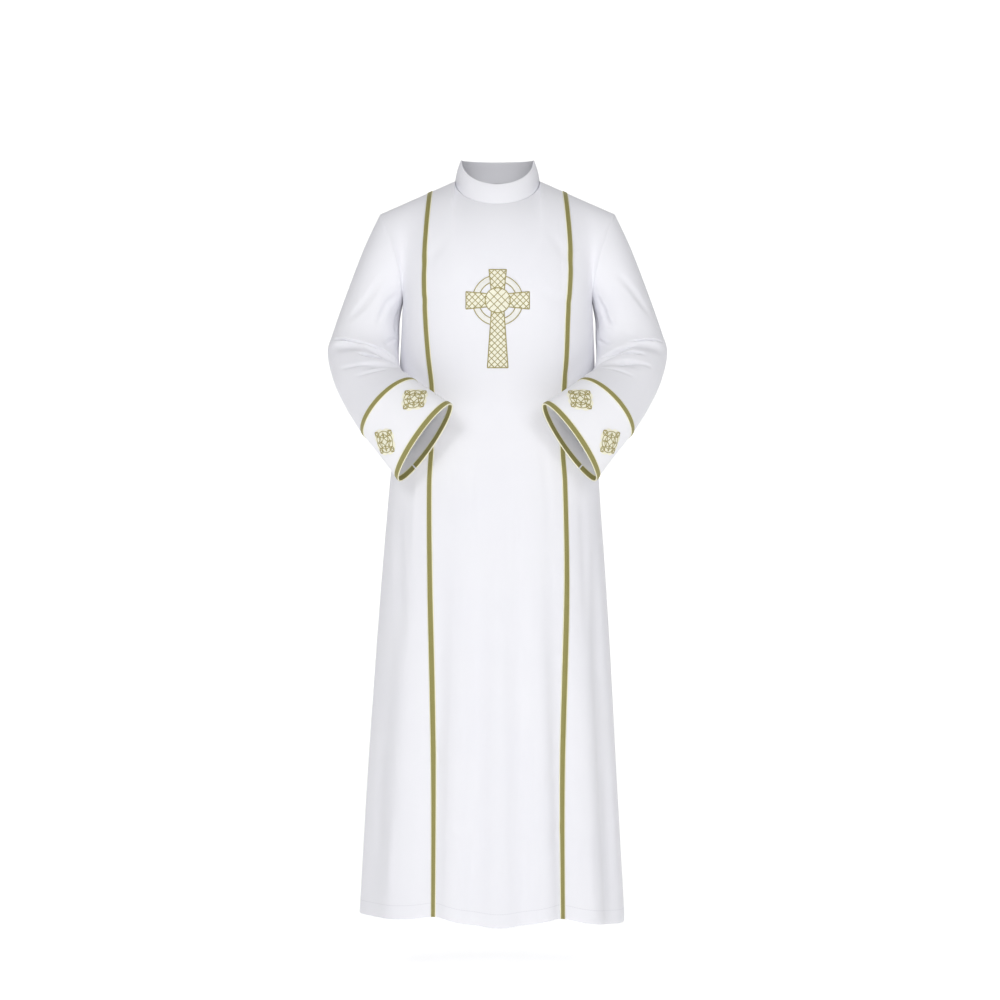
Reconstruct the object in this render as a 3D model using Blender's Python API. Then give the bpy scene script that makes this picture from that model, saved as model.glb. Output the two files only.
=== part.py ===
"""Priest robe: a white floor-length robe with a stand collar, wide sleeves, braid and embroidery.

Metres, +Z up, +X to the image's right, the front faces -Y. The origin is the middle of the neck's base,
between the shoulder seams, where the robe is held up. The robe keeps the hollow form of a robe in wear, its
sleeves bent and drawn together in front. Every cloth piece is a wall between an outer grid of points,
worked out from the tables below, and the same grid moved inwards.
"""
from collections import namedtuple
from math import atan2, cos, pi, radians, sin

import bmesh
import bpy
from mathutils import Vector
from mathutils.bvhtree import BVHTree

# Cloth and seams
CLOTH = 0.002
COLLAR_CLOTH = 0.0024
SEAM_GAP = 0.0003
BRAID_WIDTH = 0.011
BRAID_THICK = 0.001
LAID_GAP = 0.0003

# How finely the grids are cut
ROWS_TO_UNDERARM = 10
ROWS_TO_HEM = 14
NECK_STEPS = 12
SHOULDER_STEPS = 2
SIDE_STEPS = 9
BACK_SHOULDER_STEPS = 8
SLEEVE_RINGS = 19
COLLAR_ROWS = 3
RING_FINENESS = 240
SHARP_EDGE = radians(50)
WELD = 0.0002
SLIVER = 0.0005
PLANE_REACH = 0.00001

# Neck and shoulders
NECK_HALF_WIDTH = 0.0825
NECK_FRONT = 0.075
NECK_BACK = 0.068
NECK_SIDE_HEIGHT = 0.0115
NECK_FRONT_HEIGHT = -0.041
NECK_BACK_HEIGHT = 0.018
NECKLINE_CURVE = 1.05
SHOULDER_X = 0.2285
SHOULDER_SLOPE = 0.444
SEAM_Y = 0.004
CHEST_RISE = radians(58)
BACK_RISE = radians(64)
SHOULDER_RISE = radians(88)

# Collar's upper edge
COLLAR_HALF_WIDTH = 0.071
COLLAR_FRONT = 0.064
COLLAR_BACK = 0.060
COLLAR_FRONT_HEIGHT = -0.002
COLLAR_SIDE_HEIGHT = 0.0523
COLLAR_BACK_HEIGHT = 0.056

# Armhole
UNDERARM_HEIGHT = -0.225
ARMHOLE_FRONT = 0.062
ARMHOLE_BACK = 0.060
ARMHOLE_CUT_IN = 0.010
BACK_PULL_END = 0.714

# Chest cross
CROSS_X = 0.001
CROSS_HEIGHT = -0.229
CROSS_TOP = 0.059
CROSS_FOOT = 0.128
CROSS_SIDE = 0.061
CROSS_WAIST = 0.011
CROSS_FLARE = 0.017
CROSS_FOOT_FLARE = 0.021
CROSS_RING = 0.051
CROSS_RING_INNER = 0.038
CROSS_CENTRE = 0.025
CROSS_THICK = 0.001
CROSS_GAP = 0.0005
CROSS_CUT = 0.0145
CROSS_CIRCLE_SIDES = 24

# Cuff roundels
ROUNDEL_RADIUS = 0.021
ROUNDEL_LOBE = 0.12
ROUNDEL_THICK = 0.001
ROUNDEL_SIDES = 16
ROUNDEL_PLACES = (0.13, 0.37, 0.63, 0.87)
ROUNDEL_ALONG = 0.52
BINDING_END_GAP = 0.003
BINDING_SEAM_PLACE = 0.90

# The body's sections: half widths to each side, and depths to front and back of the axis
Section = namedtuple("Section", "height left right front back squareness")
SECTIONS = [
    Section(-0.225, 0.1840, 0.1840, 0.128, 0.118, 2.5),
    Section(-0.307, 0.1875, 0.1875, 0.130, 0.113, 2.5),
    Section(-0.453, 0.1965, 0.1925, 0.136, 0.117, 2.4),
    Section(-0.576, 0.2090, 0.1975, 0.147, 0.130, 2.3),
    Section(-0.750, 0.2240, 0.2095, 0.160, 0.154, 2.2),
    Section(-0.940, 0.2385, 0.2210, 0.173, 0.174, 2.15),
    Section(-1.150, 0.2530, 0.2320, 0.186, 0.192, 2.1),
    Section(-1.408, 0.2680, 0.2465, 0.200, 0.212, 2.1),
]

# The two seams under the front braids, as distances from the middle
BraidLine = namedtuple("BraidLine", "height left right")
BRAID_LINES = [
    BraidLine(-0.010, 0.1307, 0.1307),
    BraidLine(-0.111, 0.1378, 0.1383),
    BraidLine(-0.177, 0.1398, 0.1392),
    BraidLine(-0.259, 0.1373, 0.1341),
    BraidLine(-0.329, 0.1322, 0.1316),
    BraidLine(-0.402, 0.1245, 0.1264),
    BraidLine(-0.508, 0.1253, 0.1235),
    BraidLine(-0.577, 0.1290, 0.1280),
    BraidLine(-0.747, 0.1280, 0.1310),
    BraidLine(-0.936, 0.1260, 0.1288),
    BraidLine(-1.124, 0.1249, 0.1265),
    BraidLine(-1.400, 0.1252, 0.1275),
]

# The hem's height round the robe, from the front middle at 0 degrees towards +X
Hem = namedtuple("Hem", "angle height")
HEM = [
    Hem(-180, -1.405),
    Hem(-130, -1.404),
    Hem(-90, -1.408),
    Hem(-60, -1.402),
    Hem(-45, -1.398),
    Hem(-33, -1.392),
    Hem(-15, -1.404),
    Hem(0, -1.409),
    Hem(15, -1.405),
    Hem(34, -1.396),
    Hem(48, -1.408),
    Hem(70, -1.420),
    Hem(90, -1.424),
    Hem(130, -1.415),
    Hem(180, -1.405),
]

# Folds of the skirt: ridges stand out by their depth, troughs go in; each grows from start to full
Fold = namedtuple("Fold", "angle reach depth start full")
FOLDS = [
    Fold(1, 9, 0.005, -0.52, -1.00),
    Fold(-12, 9, -0.006, -0.56, -1.10),
    Fold(14, 9, -0.006, -0.58, -1.15),
    Fold(-23, 9, 0.006, -0.60, -1.20),
    Fold(25, 9, 0.006, -0.62, -1.10),
    Fold(-36, 9, -0.008, -0.50, -1.20),
    Fold(37, 9, -0.008, -0.50, -1.25),
    Fold(-53, 13, 0.010, -0.55, -1.10),
    Fold(52, 11, 0.009, -0.60, -1.15),
    Fold(66, 10, -0.008, -0.60, -1.25),
    Fold(-72, 12, -0.005, -0.70, -1.30),
    Fold(112, 15, -0.012, -0.50, -1.15),
    Fold(-109, 14, -0.011, -0.45, -1.10),
    Fold(132, 14, 0.012, -0.45, -1.20),
    Fold(-130, 15, 0.012, -0.50, -1.15),
    Fold(151, 13, -0.013, -0.40, -1.10),
    Fold(-150, 14, -0.013, -0.42, -1.15),
    Fold(167, 11, 0.010, -0.50, -1.20),
    Fold(-166, 11, 0.010, -0.45, -1.15),
]

# The sleeve's rings: the far point of each (outer, later on the cuff's lower end), the near point (at the
# underarm, later on the cuff's upper end), and half the distance between its front and back faces. x is
# away from the middle and mirrors for the other sleeve.
Ring = namedtuple("Ring", "outer_x outer_y outer_z inner_x inner_y inner_z half_depth")
SLEEVE = [
    Ring(0.2600, 0.010, -0.121, 0.1905, 0.000, -0.262, 0.066),
    Ring(0.2965, 0.012, -0.220, 0.1910, -0.014, -0.294, 0.068),
    Ring(0.3195, 0.006, -0.297, 0.1925, -0.036, -0.320, 0.064),
    Ring(0.3268, -0.008, -0.337, 0.1895, -0.066, -0.345, 0.059),
    Ring(0.3090, -0.038, -0.393, 0.1820, -0.104, -0.362, 0.054),
    Ring(0.2790, -0.076, -0.447, 0.1690, -0.134, -0.371, 0.051),
    Ring(0.2505, -0.112, -0.487, 0.1618, -0.160, -0.379, 0.048),
]
OPENING = Ring(0.1840, -0.165, -0.573, 0.0867, -0.226, -0.430, 0.029)

# Creases pressed into the sleeves at the elbow. Along runs from armhole to cuff, around from the outer
# line over the front to the inner line at a half; slant moves the crease along as it goes round.
Crease = namedtuple("Crease", "side along around slant length width depth")
CREASES = [
    Crease(-1, 0.595, 0.22, 0.10, 0.13, 0.045, 0.007),
    Crease(-1, 0.620, 0.40, 0.22, 0.12, 0.045, 0.010),
    Crease(-1, 0.740, 0.38, -0.06, 0.12, 0.045, 0.007),
    Crease(1, 0.590, 0.22, -0.04, 0.14, 0.045, 0.007),
    Crease(1, 0.620, 0.40, 0.20, 0.13, 0.045, 0.010),
    Crease(1, 0.720, 0.34, 0.05, 0.12, 0.045, 0.006),
    Crease(-1, 0.600, 0.66, 0.10, 0.14, 0.050, 0.008),
    Crease(1, 0.610, 0.67, 0.08, 0.14, 0.050, 0.008),
]

# Colours as they show: base colour, roughness, metallic
CLOTH_LOOK = ((0.86, 0.86, 0.90), 0.75, 0.0)
CUFF_LOOK = ((0.93, 0.93, 0.95), 0.70, 0.0)
BRAID_LOOK = ((0.30, 0.26, 0.08), 0.55, 0.15)
THREAD_LOOK = ((0.46, 0.34, 0.12), 0.50, 0.20)


def clear_scene():
    for item in list(bpy.data.objects):
        bpy.data.objects.remove(item)


def make_material(name, look):
    colour, roughness, metallic = look
    material = bpy.data.materials.new(name)
    material.use_nodes = True
    shader = material.node_tree.nodes["Principled BSDF"]
    shader.inputs["Base Color"].default_value = (*colour, 1.0)
    shader.inputs["Roughness"].default_value = roughness
    shader.inputs["Metallic"].default_value = metallic
    return material


def mix(a, b, share):
    return a + (b - a) * share


def curve_through(before, start, end, after, spans, share):
    """A smooth value between start and end; spans are the three distances between the four keys."""
    slope_start = (end - before) / (spans[0] + spans[1])
    slope_end = (after - start) / (spans[1] + spans[2])
    run = spans[1]
    s2, s3 = share * share, share * share * share
    value = start * (2 * s3 - 3 * s2 + 1) + end * (3 * s2 - 2 * s3)
    return value + slope_start * (run * (s3 - 2 * s2 + share)) + slope_end * (run * (s3 - s2))


def read_table(rows, key, column, at):
    """The column's value at a key between the rows, on a smooth curve through them."""
    keys = [getattr(row, key) for row in rows]
    values = [getattr(row, column) for row in rows]
    if keys[0] > keys[-1]:
        keys.reverse()
        values.reverse()
    at = min(max(at, keys[0]), keys[-1])
    i = 0
    while i < len(keys) - 2 and at > keys[i + 1]:
        i += 1
    span = keys[i + 1] - keys[i]
    left = keys[i] - keys[i - 1] if i > 0 else span
    right = keys[i + 2] - keys[i + 1] if i + 2 < len(keys) else span
    before = values[i - 1] if i > 0 else 2 * values[i] - values[i + 1]
    after = values[i + 2] if i + 2 < len(keys) else 2 * values[i + 1] - values[i]
    return curve_through(before, values[i], values[i + 1], after, (left, span, right), (at - keys[i]) / span)


def soft_step(value):
    value = min(max(value, 0.0), 1.0)
    return value * value * (3 - 2 * value)


def soft_bump(distance):
    """One at the middle, nought from a distance of one."""
    return 0.5 + 0.5 * cos(pi * distance) if abs(distance) < 1 else 0.0


def section_radius(height, angle):
    """The section's distance from the axis, before the folds."""
    side = read_table(SECTIONS, "height", "right" if angle >= 0 else "left", height)
    depth = read_table(SECTIONS, "height", "front" if abs(angle) <= pi / 2 else "back", height)
    power = read_table(SECTIONS, "height", "squareness", height)
    return (abs(sin(angle) / side) ** power + abs(cos(angle) / depth) ** power) ** (-1 / power)


def fold_depth(height, angle):
    total = 0.0
    for fold in FOLDS:
        away = (angle - radians(fold.angle) + pi) % (2 * pi) - pi
        grown = soft_step((height - fold.start) / (fold.full - fold.start))
        total += fold.depth * grown * soft_bump(away / radians(fold.reach))
    return total


def body_point(height, angle):
    radius = section_radius(height, angle) + fold_depth(height, angle)
    return Vector((radius * sin(angle), -radius * cos(angle), height))


def hem_height(angle):
    return read_table(HEM, "angle", "height", angle * 180 / pi)


def braid_x(height, side):
    return side * read_table(BRAID_LINES, "height", "right" if side > 0 else "left", height)


def braid_angle(height, side, shift=0.0):
    """The angle round the body of a line beside the braid's seam; shift is towards the side seam."""
    x = abs(braid_x(height, side)) + shift
    half = read_table(SECTIONS, "height", "right" if side > 0 else "left", height)
    depth = read_table(SECTIONS, "height", "front", height)
    power = read_table(SECTIONS, "height", "squareness", height)
    return side * atan2(x, depth * (1 - (x / half) ** power) ** (1 / power))


def shoulder_point(x):
    """A point of the shoulder seam."""
    return Vector((x, SEAM_Y, NECK_SIDE_HEIGHT - SHOULDER_SLOPE * (abs(x) - NECK_HALF_WIDTH)))


def neck_point(angle):
    """A point of the neckline; the angle runs from the front middle."""
    turn = 1 - abs(cos(angle))
    if abs(angle) <= pi / 2:
        depth, end = NECK_FRONT, NECK_FRONT_HEIGHT
    else:
        depth, end = NECK_BACK, NECK_BACK_HEIGHT
    height = mix(end, NECK_SIDE_HEIGHT, turn ** NECKLINE_CURVE)
    return Vector((NECK_HALF_WIDTH * sin(angle), SEAM_Y * turn - depth * cos(angle), height))


def armhole_point(side, share, face):
    """A point of the armhole; share runs from shoulder to underarm, face is -1 in front and 1 behind."""
    turn = pi * share
    half = SECTIONS[0].right if side > 0 else SECTIONS[0].left
    top = shoulder_point(side * SHOULDER_X)
    foot = Vector((side * half, 0.0, UNDERARM_HEIGHT))
    point = top.lerp(foot, 0.5 - 0.5 * cos(turn))
    point.y += (ARMHOLE_FRONT if face < 0 else ARMHOLE_BACK) * face * sin(turn)
    point.x -= side * ARMHOLE_CUT_IN * sin(turn) ** 2
    return point


def yoke_point(top, foot, rise, share):
    """A point between the top edge and the underarm's level, on an arc that ends upright."""
    turn = rise * (1 - share)
    out = (cos(turn) - cos(rise)) / (1 - cos(rise))
    down = 1 - sin(turn) / sin(rise)
    return Vector((mix(top.x, foot.x, down), mix(top.y, foot.y, out), mix(top.z, foot.z, down)))


def column_points(top, rise, angle_at, armhole=None, pull=0.0):
    """One column of the body from its top edge to the hem; pull draws it to the armhole's curve."""
    foot = body_point(UNDERARM_HEIGHT, angle_at(UNDERARM_HEIGHT))
    column = []
    for row in range(ROWS_TO_UNDERARM):
        share = row / ROWS_TO_UNDERARM
        point = yoke_point(top, foot, rise, share)
        if armhole:
            edge_top, edge_foot = armhole(0.0), armhole(1.0)
            plain = yoke_point(edge_top, edge_foot, SHOULDER_RISE, share)
            point += (armhole(share) - plain) * pull
        column.append(point)
    for row in range(ROWS_TO_HEM + 1):
        share = row / ROWS_TO_HEM
        level = mix(UNDERARM_HEIGHT, HEM[0].height, share)
        angle = angle_at(level)
        column.append(body_point(mix(UNDERARM_HEIGHT, hem_height(angle), share), angle))
    return column


def braid_column(side, shift):
    """A column along the braid's seam or one of its edges."""
    def angle_at(height):
        return braid_angle(height, side, shift)

    column = column_points(shoulder_point(side * (BRAID_LINES[0].right + shift)), SHOULDER_RISE, angle_at)
    for row in range(1, ROWS_TO_UNDERARM):
        column[row].x = braid_x(column[row].z, side) + side * shift
    return column


def front_columns():
    """The front panel's columns, from the left braid's seam to the right one's."""
    half = BRAID_WIDTH / 2
    edge = BRAID_LINES[0].right - half
    tops, rises = [], []
    for side in (-1, 1):
        group = []
        for step in range(1, SHOULDER_STEPS + 1):
            x = mix(edge, NECK_HALF_WIDTH, step / SHOULDER_STEPS)
            group.append(shoulder_point(side * x))
        if side < 0:
            tops += group
            rises += [SHOULDER_RISE] * len(group)
            for step in range(1, NECK_STEPS):
                angle = mix(-pi / 2, pi / 2, step / NECK_STEPS)
                tops.append(neck_point(angle))
                rises.append(mix(SHOULDER_RISE, CHEST_RISE, cos(angle)))
        else:
            tops += reversed(group)
            rises += [SHOULDER_RISE] * len(group)
    columns = [braid_column(-1, 0.0), braid_column(-1, -half)]
    steps = len(tops) + 1
    for number, (top, rise) in enumerate(zip(tops, rises), 1):
        def angle_at(height, share=number / steps):
            return mix(braid_angle(height, -1, -half), braid_angle(height, 1, -half), share)

        columns.append(column_points(top, rise, angle_at))
    return columns + [braid_column(1, -half), braid_column(1, 0.0)]


def side_columns(side):
    """A side front's columns, from the braid's seam to the side seam and the armhole."""
    half = BRAID_WIDTH / 2
    edge = BRAID_LINES[0].right + half
    columns = [braid_column(side, 0.0), braid_column(side, half)]
    for step in range(1, SIDE_STEPS + 1):
        share = step / SIDE_STEPS

        def angle_at(height, share=share):
            return mix(braid_angle(height, side, half), side * pi / 2, share)

        def armhole(at):
            return armhole_point(side, at, -1)

        top = shoulder_point(side * mix(edge, SHOULDER_X, share))
        columns.append(column_points(top, SHOULDER_RISE, angle_at, armhole, share * share))
    return columns


def back_columns(side):
    """A back's columns, from the side seam and the armhole to the centre back."""
    columns = []
    steps = NECK_STEPS // 2 + BACK_SHOULDER_STEPS
    for step in range(steps + 1):
        share = step / steps
        if step <= BACK_SHOULDER_STEPS:
            top = shoulder_point(side * mix(SHOULDER_X, NECK_HALF_WIDTH, step / BACK_SHOULDER_STEPS))
            rise = SHOULDER_RISE
        else:
            turn = mix(pi / 2, pi, (step - BACK_SHOULDER_STEPS) / (NECK_STEPS // 2))
            top = neck_point(side * turn)
            rise = mix(SHOULDER_RISE, BACK_RISE, -cos(turn))

        def angle_at(height, share=share):
            return side * mix(pi / 2, pi, share)

        def armhole(at):
            return armhole_point(side, at, 1)

        pull = max(0.0, 1 - share / BACK_PULL_END)
        columns.append(column_points(top, rise, angle_at, armhole, pull * pull))
    return columns


def ring_points(outer, inner, half_depth, along, count):
    """Evenly spaced points of an oval ring, from its outer end over its front face."""
    middle = (outer + inner) / 2
    reach = (outer - inner) / 2
    across = reach.cross(along).normalized()
    if across.y > 0:
        across.negate()
    turns = [2 * pi * i / RING_FINENESS for i in range(RING_FINENESS + 1)]
    line = [middle + reach * cos(turn) + across * (half_depth * sin(turn)) for turn in turns]
    lengths = [0.0]
    for a, b in zip(line, line[1:]):
        lengths.append(lengths[-1] + (b - a).length)
    points, at = [], 0
    for i in range(count):
        wanted = lengths[-1] * i / count
        while lengths[at + 1] < wanted:
            at += 1
        points.append(line[at].lerp(line[at + 1], (wanted - lengths[at]) / (lengths[at + 1] - lengths[at])))
    return points


def mirrored(ring, side):
    outer = Vector((side * ring.outer_x, ring.outer_y, ring.outer_z))
    inner = Vector((side * ring.inner_x, ring.inner_y, ring.inner_z))
    return outer, inner, ring.half_depth


def crease_depth(side, along, around):
    total = 0.0
    for crease in CREASES:
        if crease.side == side:
            off = around - crease.around
            line = crease.along + crease.slant * off
            total += crease.depth * soft_bump(off / crease.length) * soft_bump((along - line) / crease.width)
    return total


def sleeve_grid(side):
    """Rings of the sleeve from the armhole to the cuff's seam, and the rings of the cuff after them."""
    keys = [mirrored(ring, side) for ring in SLEEVE]
    count = 2 * ROWS_TO_UNDERARM
    armhole = [armhole_point(side, i / ROWS_TO_UNDERARM, -1) for i in range(ROWS_TO_UNDERARM + 1)]
    armhole += [armhole_point(side, i / ROWS_TO_UNDERARM, 1) for i in range(ROWS_TO_UNDERARM - 1, 0, -1)]
    opening = mirrored(OPENING, side)
    middles = [(armhole[0] + armhole[ROWS_TO_UNDERARM]) / 2]
    middles += [(outer + inner) / 2 for outer, inner, _ in keys]
    middles.append((opening[0] + opening[1]) / 2)
    rings = [armhole]
    for i, (outer, inner, half) in enumerate(keys, 1):
        rings.append(ring_points(outer, inner, half, middles[i + 1] - middles[i - 1], count))
    mouth = ring_points(*opening, middles[-1] - middles[-2], count)
    grid = []
    spans = len(rings) - 1
    for r in range(SLEEVE_RINGS + 1):
        place = r / SLEEVE_RINGS * spans
        i = min(int(place), spans - 1)
        before = rings[max(i - 1, 0)]
        after = rings[min(i + 2, spans)]
        grid.append([curve_through(before[c], rings[i][c], rings[i + 1][c], after[c], (1, 1, 1), place - i)
                     for c in range(count)])
    press_creases(grid, side)
    seam = grid[-1]
    tall = (middles[-1] - middles[-2]).length
    edge = BRAID_WIDTH / tall
    shares = [0.0, edge, mix(edge, 1 - edge, 1 / 3), mix(edge, 1 - edge, 2 / 3), 1 - edge, 1.0]
    cuff = [[a.lerp(b, share) for a, b in zip(seam, mouth)] for share in shares]
    return grid, cuff


def press_creases(grid, side):
    normals = grid_normals(grid, True, -side)
    for r in range(1, len(grid) - 1):
        for c, point in enumerate(grid[r]):
            depth = crease_depth(side, r / (len(grid) - 1), c / len(grid[r]))
            grid[r][c] = point - normals[r][c] * depth


def grid_normals(grid, closed, sign=1):
    """The outward direction at each point of a grid of rows."""
    rows, count = len(grid), len(grid[0])
    normals = []
    for r in range(rows):
        up, down = grid[max(r - 1, 0)], grid[min(r + 1, rows - 1)]
        line = []
        for c in range(count):
            if closed:
                before, after = grid[r][c - 1], grid[r][(c + 1) % count]
            else:
                before, after = grid[r][max(c - 1, 0)], grid[r][min(c + 1, count - 1)]
            line.append((down[c] - up[c]).cross(after - before).normalized() * sign)
        normals.append(line)
    return normals


def share_normals(places):
    """Gives the same direction to points of several grids that meet on a seam."""
    total = Vector((0.0, 0.0, 0.0))
    for normals, row, column in places:
        total += normals[row][column]
    total.normalize()
    for normals, row, column in places:
        normals[row][column] = total.copy()


def share_at_ridge(a, b, apart):
    """Mitres two walls where their inner sides would cross; apart runs from the second wall to the first."""
    first, second = a[0][a[1]][a[2]], b[0][b[1]][b[2]]
    if (second - first).dot(apart) < 0:
        share_normals([a, b])


def rows_from(columns):
    return [list(row) for row in zip(*columns)]


def wall_edges(points, closed, top, bottom):
    """Shifts for each point that pull a wall's edges back from its seams."""
    rows, count = len(points), len(points[0])
    pull = SEAM_GAP / 2
    shifts = [[Vector((0.0, 0.0, 0.0)) for _ in range(count)] for _ in range(rows)]
    for c in range(count):
        if top:
            shifts[0][c] += (points[1][c] - points[0][c]).normalized() * pull
        if bottom:
            shifts[-1][c] += (points[-2][c] - points[-1][c]).normalized() * pull
    if not closed:
        for r in range(rows):
            shifts[r][0] += (points[r][1] - points[r][0]).normalized() * pull
            shifts[r][-1] += (points[r][-2] - points[r][-1]).normalized() * pull
    return shifts


def add_object(name, mesh_maker, material):
    """Makes an object from a bmesh, with its faces pointing out."""
    bmesh.ops.recalc_face_normals(mesh_maker, faces=mesh_maker.faces)
    if mesh_maker.calc_volume(signed=True) < 0:
        bmesh.ops.reverse_faces(mesh_maker, faces=mesh_maker.faces)
    mesh = bpy.data.meshes.new(name)
    mesh_maker.to_mesh(mesh)
    mesh_maker.free()
    mesh.shade_smooth()
    mesh.set_sharp_from_angle(angle=SHARP_EDGE)
    item = bpy.data.objects.new(name, mesh)
    item.data.materials.append(material)
    bpy.context.collection.objects.link(item)
    return item


def make_wall(name, points, normals, inset, thick, material, closed=False, top=True, bottom=True):
    """A closed wall between the grid moved in by inset and by inset + thick; a negative inset lies on it."""
    shifts = wall_edges(points, closed, top, bottom)
    rows, count = len(points), len(points[0])
    build = bmesh.new()
    layers = []
    for depth in (inset, inset + thick):
        layers.append([[build.verts.new(points[r][c] - normals[r][c] * depth + shifts[r][c])
                        for c in range(count)] for r in range(rows)])
    outer, inner = layers
    spans = count if closed else count - 1
    for r in range(rows - 1):
        for c in range(spans):
            d = (c + 1) % count
            build.faces.new((outer[r][c], outer[r + 1][c], outer[r + 1][d]))
            build.faces.new((outer[r][c], outer[r + 1][d], outer[r][d]))
            build.faces.new((inner[r][c], inner[r + 1][d], inner[r + 1][c]))
            build.faces.new((inner[r][c], inner[r][d], inner[r + 1][d]))
    for r in (0, rows - 1):
        for c in range(spans):
            d = (c + 1) % count
            build.faces.new((outer[r][c], outer[r][d], inner[r][d], inner[r][c]))
    if not closed:
        for c in (0, count - 1):
            for r in range(rows - 1):
                build.faces.new((outer[r][c], outer[r + 1][c], inner[r + 1][c], inner[r][c]))
    return add_object(name, build, material)


def make_strip(name, points, normals, material, closed=False):
    """Braid laid on a panel: the panel's own points, moved out."""
    inset = -(LAID_GAP + BRAID_THICK)
    return make_wall(name, points, normals, inset, BRAID_THICK, material, closed, False, False)


def collar_grid(base):
    """Rows of the collar from its upper edge to the neckline."""
    grid = []
    count = len(base) - 1
    for row in range(COLLAR_ROWS + 1):
        share = row / COLLAR_ROWS
        line = []
        for c, foot in enumerate(base):
            angle = mix(-pi, pi, c / count)
            turn = 1 - abs(cos(angle))
            front = abs(angle) <= pi / 2
            depth = COLLAR_FRONT if front else COLLAR_BACK
            height = mix(COLLAR_FRONT_HEIGHT if front else COLLAR_BACK_HEIGHT, COLLAR_SIDE_HEIGHT, turn)
            top = Vector((COLLAR_HALF_WIDTH * sin(angle), -depth * cos(angle), height))
            line.append(top.lerp(foot, share))
        grid.append(line)
    return grid


def split_columns(grid, first, last):
    return [row[first:last + 1] for row in grid]


def make_binding(name, cuff, normals, material):
    """Braid folded over the cuff's edge, outside and in, with its ends just apart at the sleeve's seam."""
    count = len(cuff[0])
    start = int(BINDING_SEAM_PLACE * count)
    order = [(start + i) % count for i in range(count + 1)]
    build = bmesh.new()
    sections = []
    for i, c in enumerate(order):
        edge, upper, normal = cuff[-1][c], cuff[-2][c], normals[-1][c]
        up = (upper - edge).normalized()
        upper_normal = normals[-2][c]
        along = (cuff[-1][(c + 1) % count] - cuff[-1][c - 1]).normalized()
        end = along * (BINDING_END_GAP / 2) * ((i == 0) - (i == count))
        below = up * LAID_GAP
        deep = CLOTH + LAID_GAP
        profile = [
            upper + upper_normal * (LAID_GAP + BRAID_THICK),
            edge + normal * (LAID_GAP + BRAID_THICK) - below - up * BRAID_THICK,
            edge - normal * (deep + BRAID_THICK) - below - up * BRAID_THICK,
            upper - upper_normal * (deep + BRAID_THICK),
            upper - upper_normal * deep,
            edge - normal * deep - below,
            edge + normal * LAID_GAP - below,
            upper + upper_normal * LAID_GAP,
        ]
        sections.append([build.verts.new(point + end) for point in profile])
    for a, b in zip(sections, sections[1:]):
        for k in range(len(a)):
            n = (k + 1) % len(a)
            from_edge_up = k in (2, 6)
            if from_edge_up:
                build.faces.new((a[k], a[n], b[k]))
                build.faces.new((a[n], b[n], b[k]))
            else:
                build.faces.new((a[k], a[n], b[n]))
                build.faces.new((a[k], b[n], b[k]))
    build.faces.new(sections[0])
    build.faces.new(sections[-1])
    return add_object(name, build, material)


def plate(outline, thick):
    """A flat plate in the XZ plane, from its outline."""
    build = bmesh.new()
    face = build.faces.new([build.verts.new((x, 0.0, z)) for x, z in outline])
    grown = bmesh.ops.extrude_face_region(build, geom=[face])
    moved = [v for v in grown["geom"] if isinstance(v, bmesh.types.BMVert)]
    bmesh.ops.translate(build, verts=moved, vec=(0.0, -thick, 0.0))
    bmesh.ops.recalc_face_normals(build, faces=build.faces)
    mesh = bpy.data.meshes.new("plate")
    build.to_mesh(mesh)
    build.free()
    item = bpy.data.objects.new("plate", mesh)
    bpy.context.collection.objects.link(item)
    return item


def circle(radius, sides=CROSS_CIRCLE_SIDES):
    return [(radius * cos(2 * pi * i / sides), radius * sin(2 * pi * i / sides)) for i in range(sides)]


def combine(base, others, operation):
    """Joins plates to the base plate or cuts them from it, and drops them."""
    for other in others:
        change = base.modifiers.new("combine", "BOOLEAN")
        change.operation = operation
        change.object = other
        graph = bpy.context.evaluated_depsgraph_get()
        mesh = bpy.data.meshes.new_from_object(base.evaluated_get(graph))
        base.modifiers.clear()
        base.data = mesh
        bpy.data.objects.remove(other)


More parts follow.
